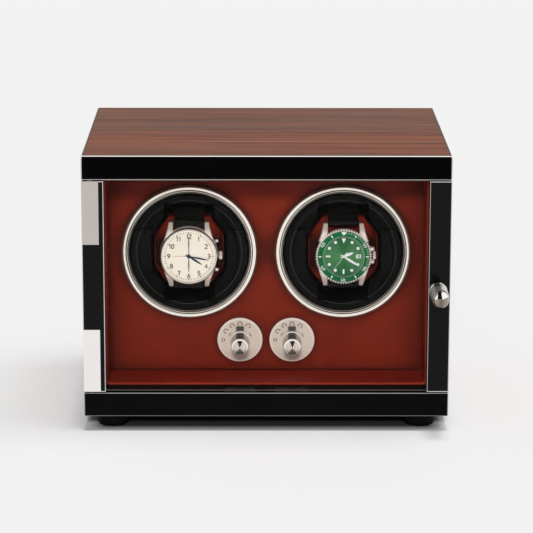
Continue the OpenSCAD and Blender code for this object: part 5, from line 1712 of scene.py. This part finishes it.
def makePiping(side):
    # Two piped seams, each a loop round the pillow where a plane across X cuts its swollen surface
    pad = softPillows[side]
    surface = BVHTree.FromPolygons([v.co[:] for v in pad.data.vertices],
                                   [tuple(f.vertices) for f in pad.data.polygons])
    centre = place(side, pillow["pipingDepth"])
    turns = np.linspace(0, 2 * np.pi, pillow["pipingPoints"], endpoint=False)
    parts = []
    for edge in (-1, 1):
        origin = Vector((centre[0] + edge * pillow["pipingReach"], centre[1], centre[2]))
        rays = [Vector((0, math.cos(a), math.sin(a))) for a in turns]
        path = np.array([surface.ray_cast(origin, ray)[0][:] for ray in rays])
        for _ in range(4):
            path = (np.roll(path, 1, axis=0) + 2 * path + np.roll(path, -1, axis=0)) / 4
        parts.append(sweptTube(path, pillow["pipingRadius"], (1, 0, 0)))
    made = outward(makeObject("pillowPiping_" + side, *joined(parts), "piping"))
    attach(made, side + "_pillow")


makeHem()
looks["piping"] = makeLeather("pipingLeather", (0.07, 0.008, 0.004), (0.13, 0.013, 0.006), 2.0, 0.4, 0.2)
for side in sides:
    makePiping(side)
print("hem and piping made")


selectorKnob = {"radius": 6.35, "collar": 7.15, "collarFrom": 20.0, "spindle": 3.0, "grooves": 9,
                "grooveDepth": 0.09}


def makeSelectorKnob(side):
    # Turned in one: a shallow cone in a bevel, a finely grooved barrel, a thin collar and the spindle
    p = selectorKnob
    low, high = nodeBox("selector_knob_" + side)
    long = float(high[1] - low[1]) / mm
    r, c, g = p["radius"], p["collar"], p["grooveDepth"]
    profile = [(0, 0), (r - 0.5, 1.55), (r - 0.1, 1.85), (r, 2.1)]
    for start in np.linspace(5.0, p["collarFrom"] - 2.0, p["grooves"]):
        profile += [(r, start), (r - g, start + 0.15), (r - g, start + 0.3), (r, start + 0.45)]
    at = p["collarFrom"]
    profile += [(r, at), (c - 0.35, at), (c, at + 0.35), (c, at + 2.6), (c - 0.35, at + 2.95),
                (p["spindle"], at + 2.95), (p["spindle"], long), (0, long)]
    centre = ((low[0] + high[0]) / 2, low[1], (low[2] + high[2]) / 2)
    made = outward(makeObject("selectorKnob_" + side, *lathe(inMm(profile), centre, 128),
                              "selectorKnob_" + side))
    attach(made, side + "_knob")
    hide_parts("selector_knob_" + side)


plateMarks = {"radius": 12.3, "size": 1.45, "stroke": 0.5, "angles": (303, 332, 0, 29), "open": 128,
              "off": (270, 1.05, 0.5), "arrowRadius": 8.7, "arrowStroke": 0.34,
              "arrows": ((-72, -48), (52, 76))}


def makePlateMarks(side):
    # Horseshoe marks with a head on each end, a broken ring for off, and an arc with a head on each side
    centre = middle("selector_plate_" + side)
    top = (centre[0], nodeBox("selector_plate_" + side)[0][1] - 0.02 * mm, centre[2])
    p = plateMarks
    head = plate([(-0.62, 0.2), (0.0, -0.75), (0.62, 0.2)][::-1])
    marks = []
    for angle in p["angles"]:
        a = math.radians(angle)
        x, z = polar(angle, p["radius"])
        marks.append(laid(arcBand(p["size"], p["stroke"], -p["open"], p["open"]), top, x, z, angle))
        for end in (-1, 1):
            u, v = polar(end * (p["open"] - 12), p["size"])
            marks.append(laid(head, top, x + u * math.cos(a) + v * math.sin(a),
                              z - u * math.sin(a) + v * math.cos(a), angle - end * 20))
    offAngle, offRadius, offStroke = p["off"]
    x, z = polar(offAngle, p["radius"])
    marks += [laid(arcBand(offRadius, offStroke, start, start + 160), top, x, z) for start in (10, 190)]
    for start, end in p["arrows"]:
        marks.append(laid(arcBand(p["arrowRadius"], p["arrowStroke"], start, end), top, 0, 0))
        marks.append(laid(head, top, *polar((start + end) / 2, p["arrowRadius"]), (start + end) / 2 + 90))
    made = outward(makeObject("plateMarks_" + side, *joined(marks), "ink", False))
    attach(made, "cabinet")


for side in sides:
    makeSelectorKnob(side)
    makePlateMarks(side)
print("marks made")


studio = {"floorTone": (0.95, 0.95, 0.95), "underBox": (0.06, 0.06, 0.06), "floorHalf": 14,
          "shadeEdge": (14 * mm, 2 * mm), "world": 0.14, "background": 0.88,
          "suns": {"frontSun": {"strength": 2.0, "angle": 9, "direction": (0.02, 1.0, -0.46),
                                "colour": (1.0, 0.99, 0.98)},
                   "sideSun": {"strength": 0.72, "angle": 30, "direction": (-0.32, 0.0, -1.0),
                               "colour": (1, 1, 1)},
                   "topSun": {"strength": 1.0, "angle": 8, "direction": (-0.02, 0.10, -1.0),
                              "colour": (1, 1, 1)}}}


def makeFloor():
    # A flat grid, dark under the box where no light comes
    n = 3
    grid = np.linspace(-studio["floorHalf"], studio["floorHalf"], n)
    x, y = np.meshgrid(grid, grid)
    verts = np.stack([x.ravel(), y.ravel(), np.zeros(n * n)], axis=1)
    material, tree, shader, spot = newMaterial("studioFloor", Roughness=0.8, Specular_IOR_Level=0.0)
    tone = studio["floorTone"]
    split = parted(tree, spot)
    low, high = nodeBox("base_slab")
    soft, hard = studio["shadeEdge"]
    under = mapRange(tree, absolute(tree, split[0]), float(high[0]) - soft, float(high[0]) - hard, 1.0, 0.0)
    under = times(tree, under, mapRange(tree, split[1], float(low[1]) + hard, float(low[1]) + soft))
    under = times(tree, under, mapRange(tree, split[1], float(high[1]) - soft, float(high[1]), 1.0, 0.0))
    base = mixColour(tree, noise(tree, spot, 3, 3.0), tone, tuple(c * 0.995 for c in tone))
    wire(tree, mixColour(tree, under, base, studio["underBox"]), shader.inputs["Base Color"])
    looks["floor"] = material
    made = makeObject("studioFloor", verts, gridFaces(n, n, False, False), "floor")


def makeSun(name):
    p = studio["suns"][name]
    data = bpy.data.lights.new(name, "SUN")
    data.energy = p["strength"]
    data.angle = math.radians(p["angle"])
    data.color = p["colour"]
    made = bpy.data.objects.new(name, data)
    made.rotation_euler = Vector(p["direction"]).to_track_quat("-Z", "Y").to_euler()
    made.visible_glossy = False  # metal and lacquer show the room and the floor, not the lamps
    bpy.context.scene.collection.objects.link(made)


def makeWorld():
    world = bpy.data.worlds.new("studioWorld")
    bpy.context.scene.world = world
    world.use_nodes = True
    tree = world.node_tree
    back = tree.nodes["Background"]
    path = tree.nodes.new("ShaderNodeLightPath")
    seen = larger(tree, path.outputs["Is Camera Ray"], path.outputs["Is Glossy Ray"])
    seen = larger(tree, seen, path.outputs["Is Transmission Ray"])
    wire(tree, mapRange(tree, seen, 0, 1, studio["world"], studio["background"]), back.inputs["Strength"])
    back.inputs["Color"].default_value = (1, 1, 1, 1)


makeFloor()
for name in studio["suns"]:
    makeSun(name)
makeWorld()
bpy.context.scene.view_settings.view_transform = "Standard"
print("stage made")
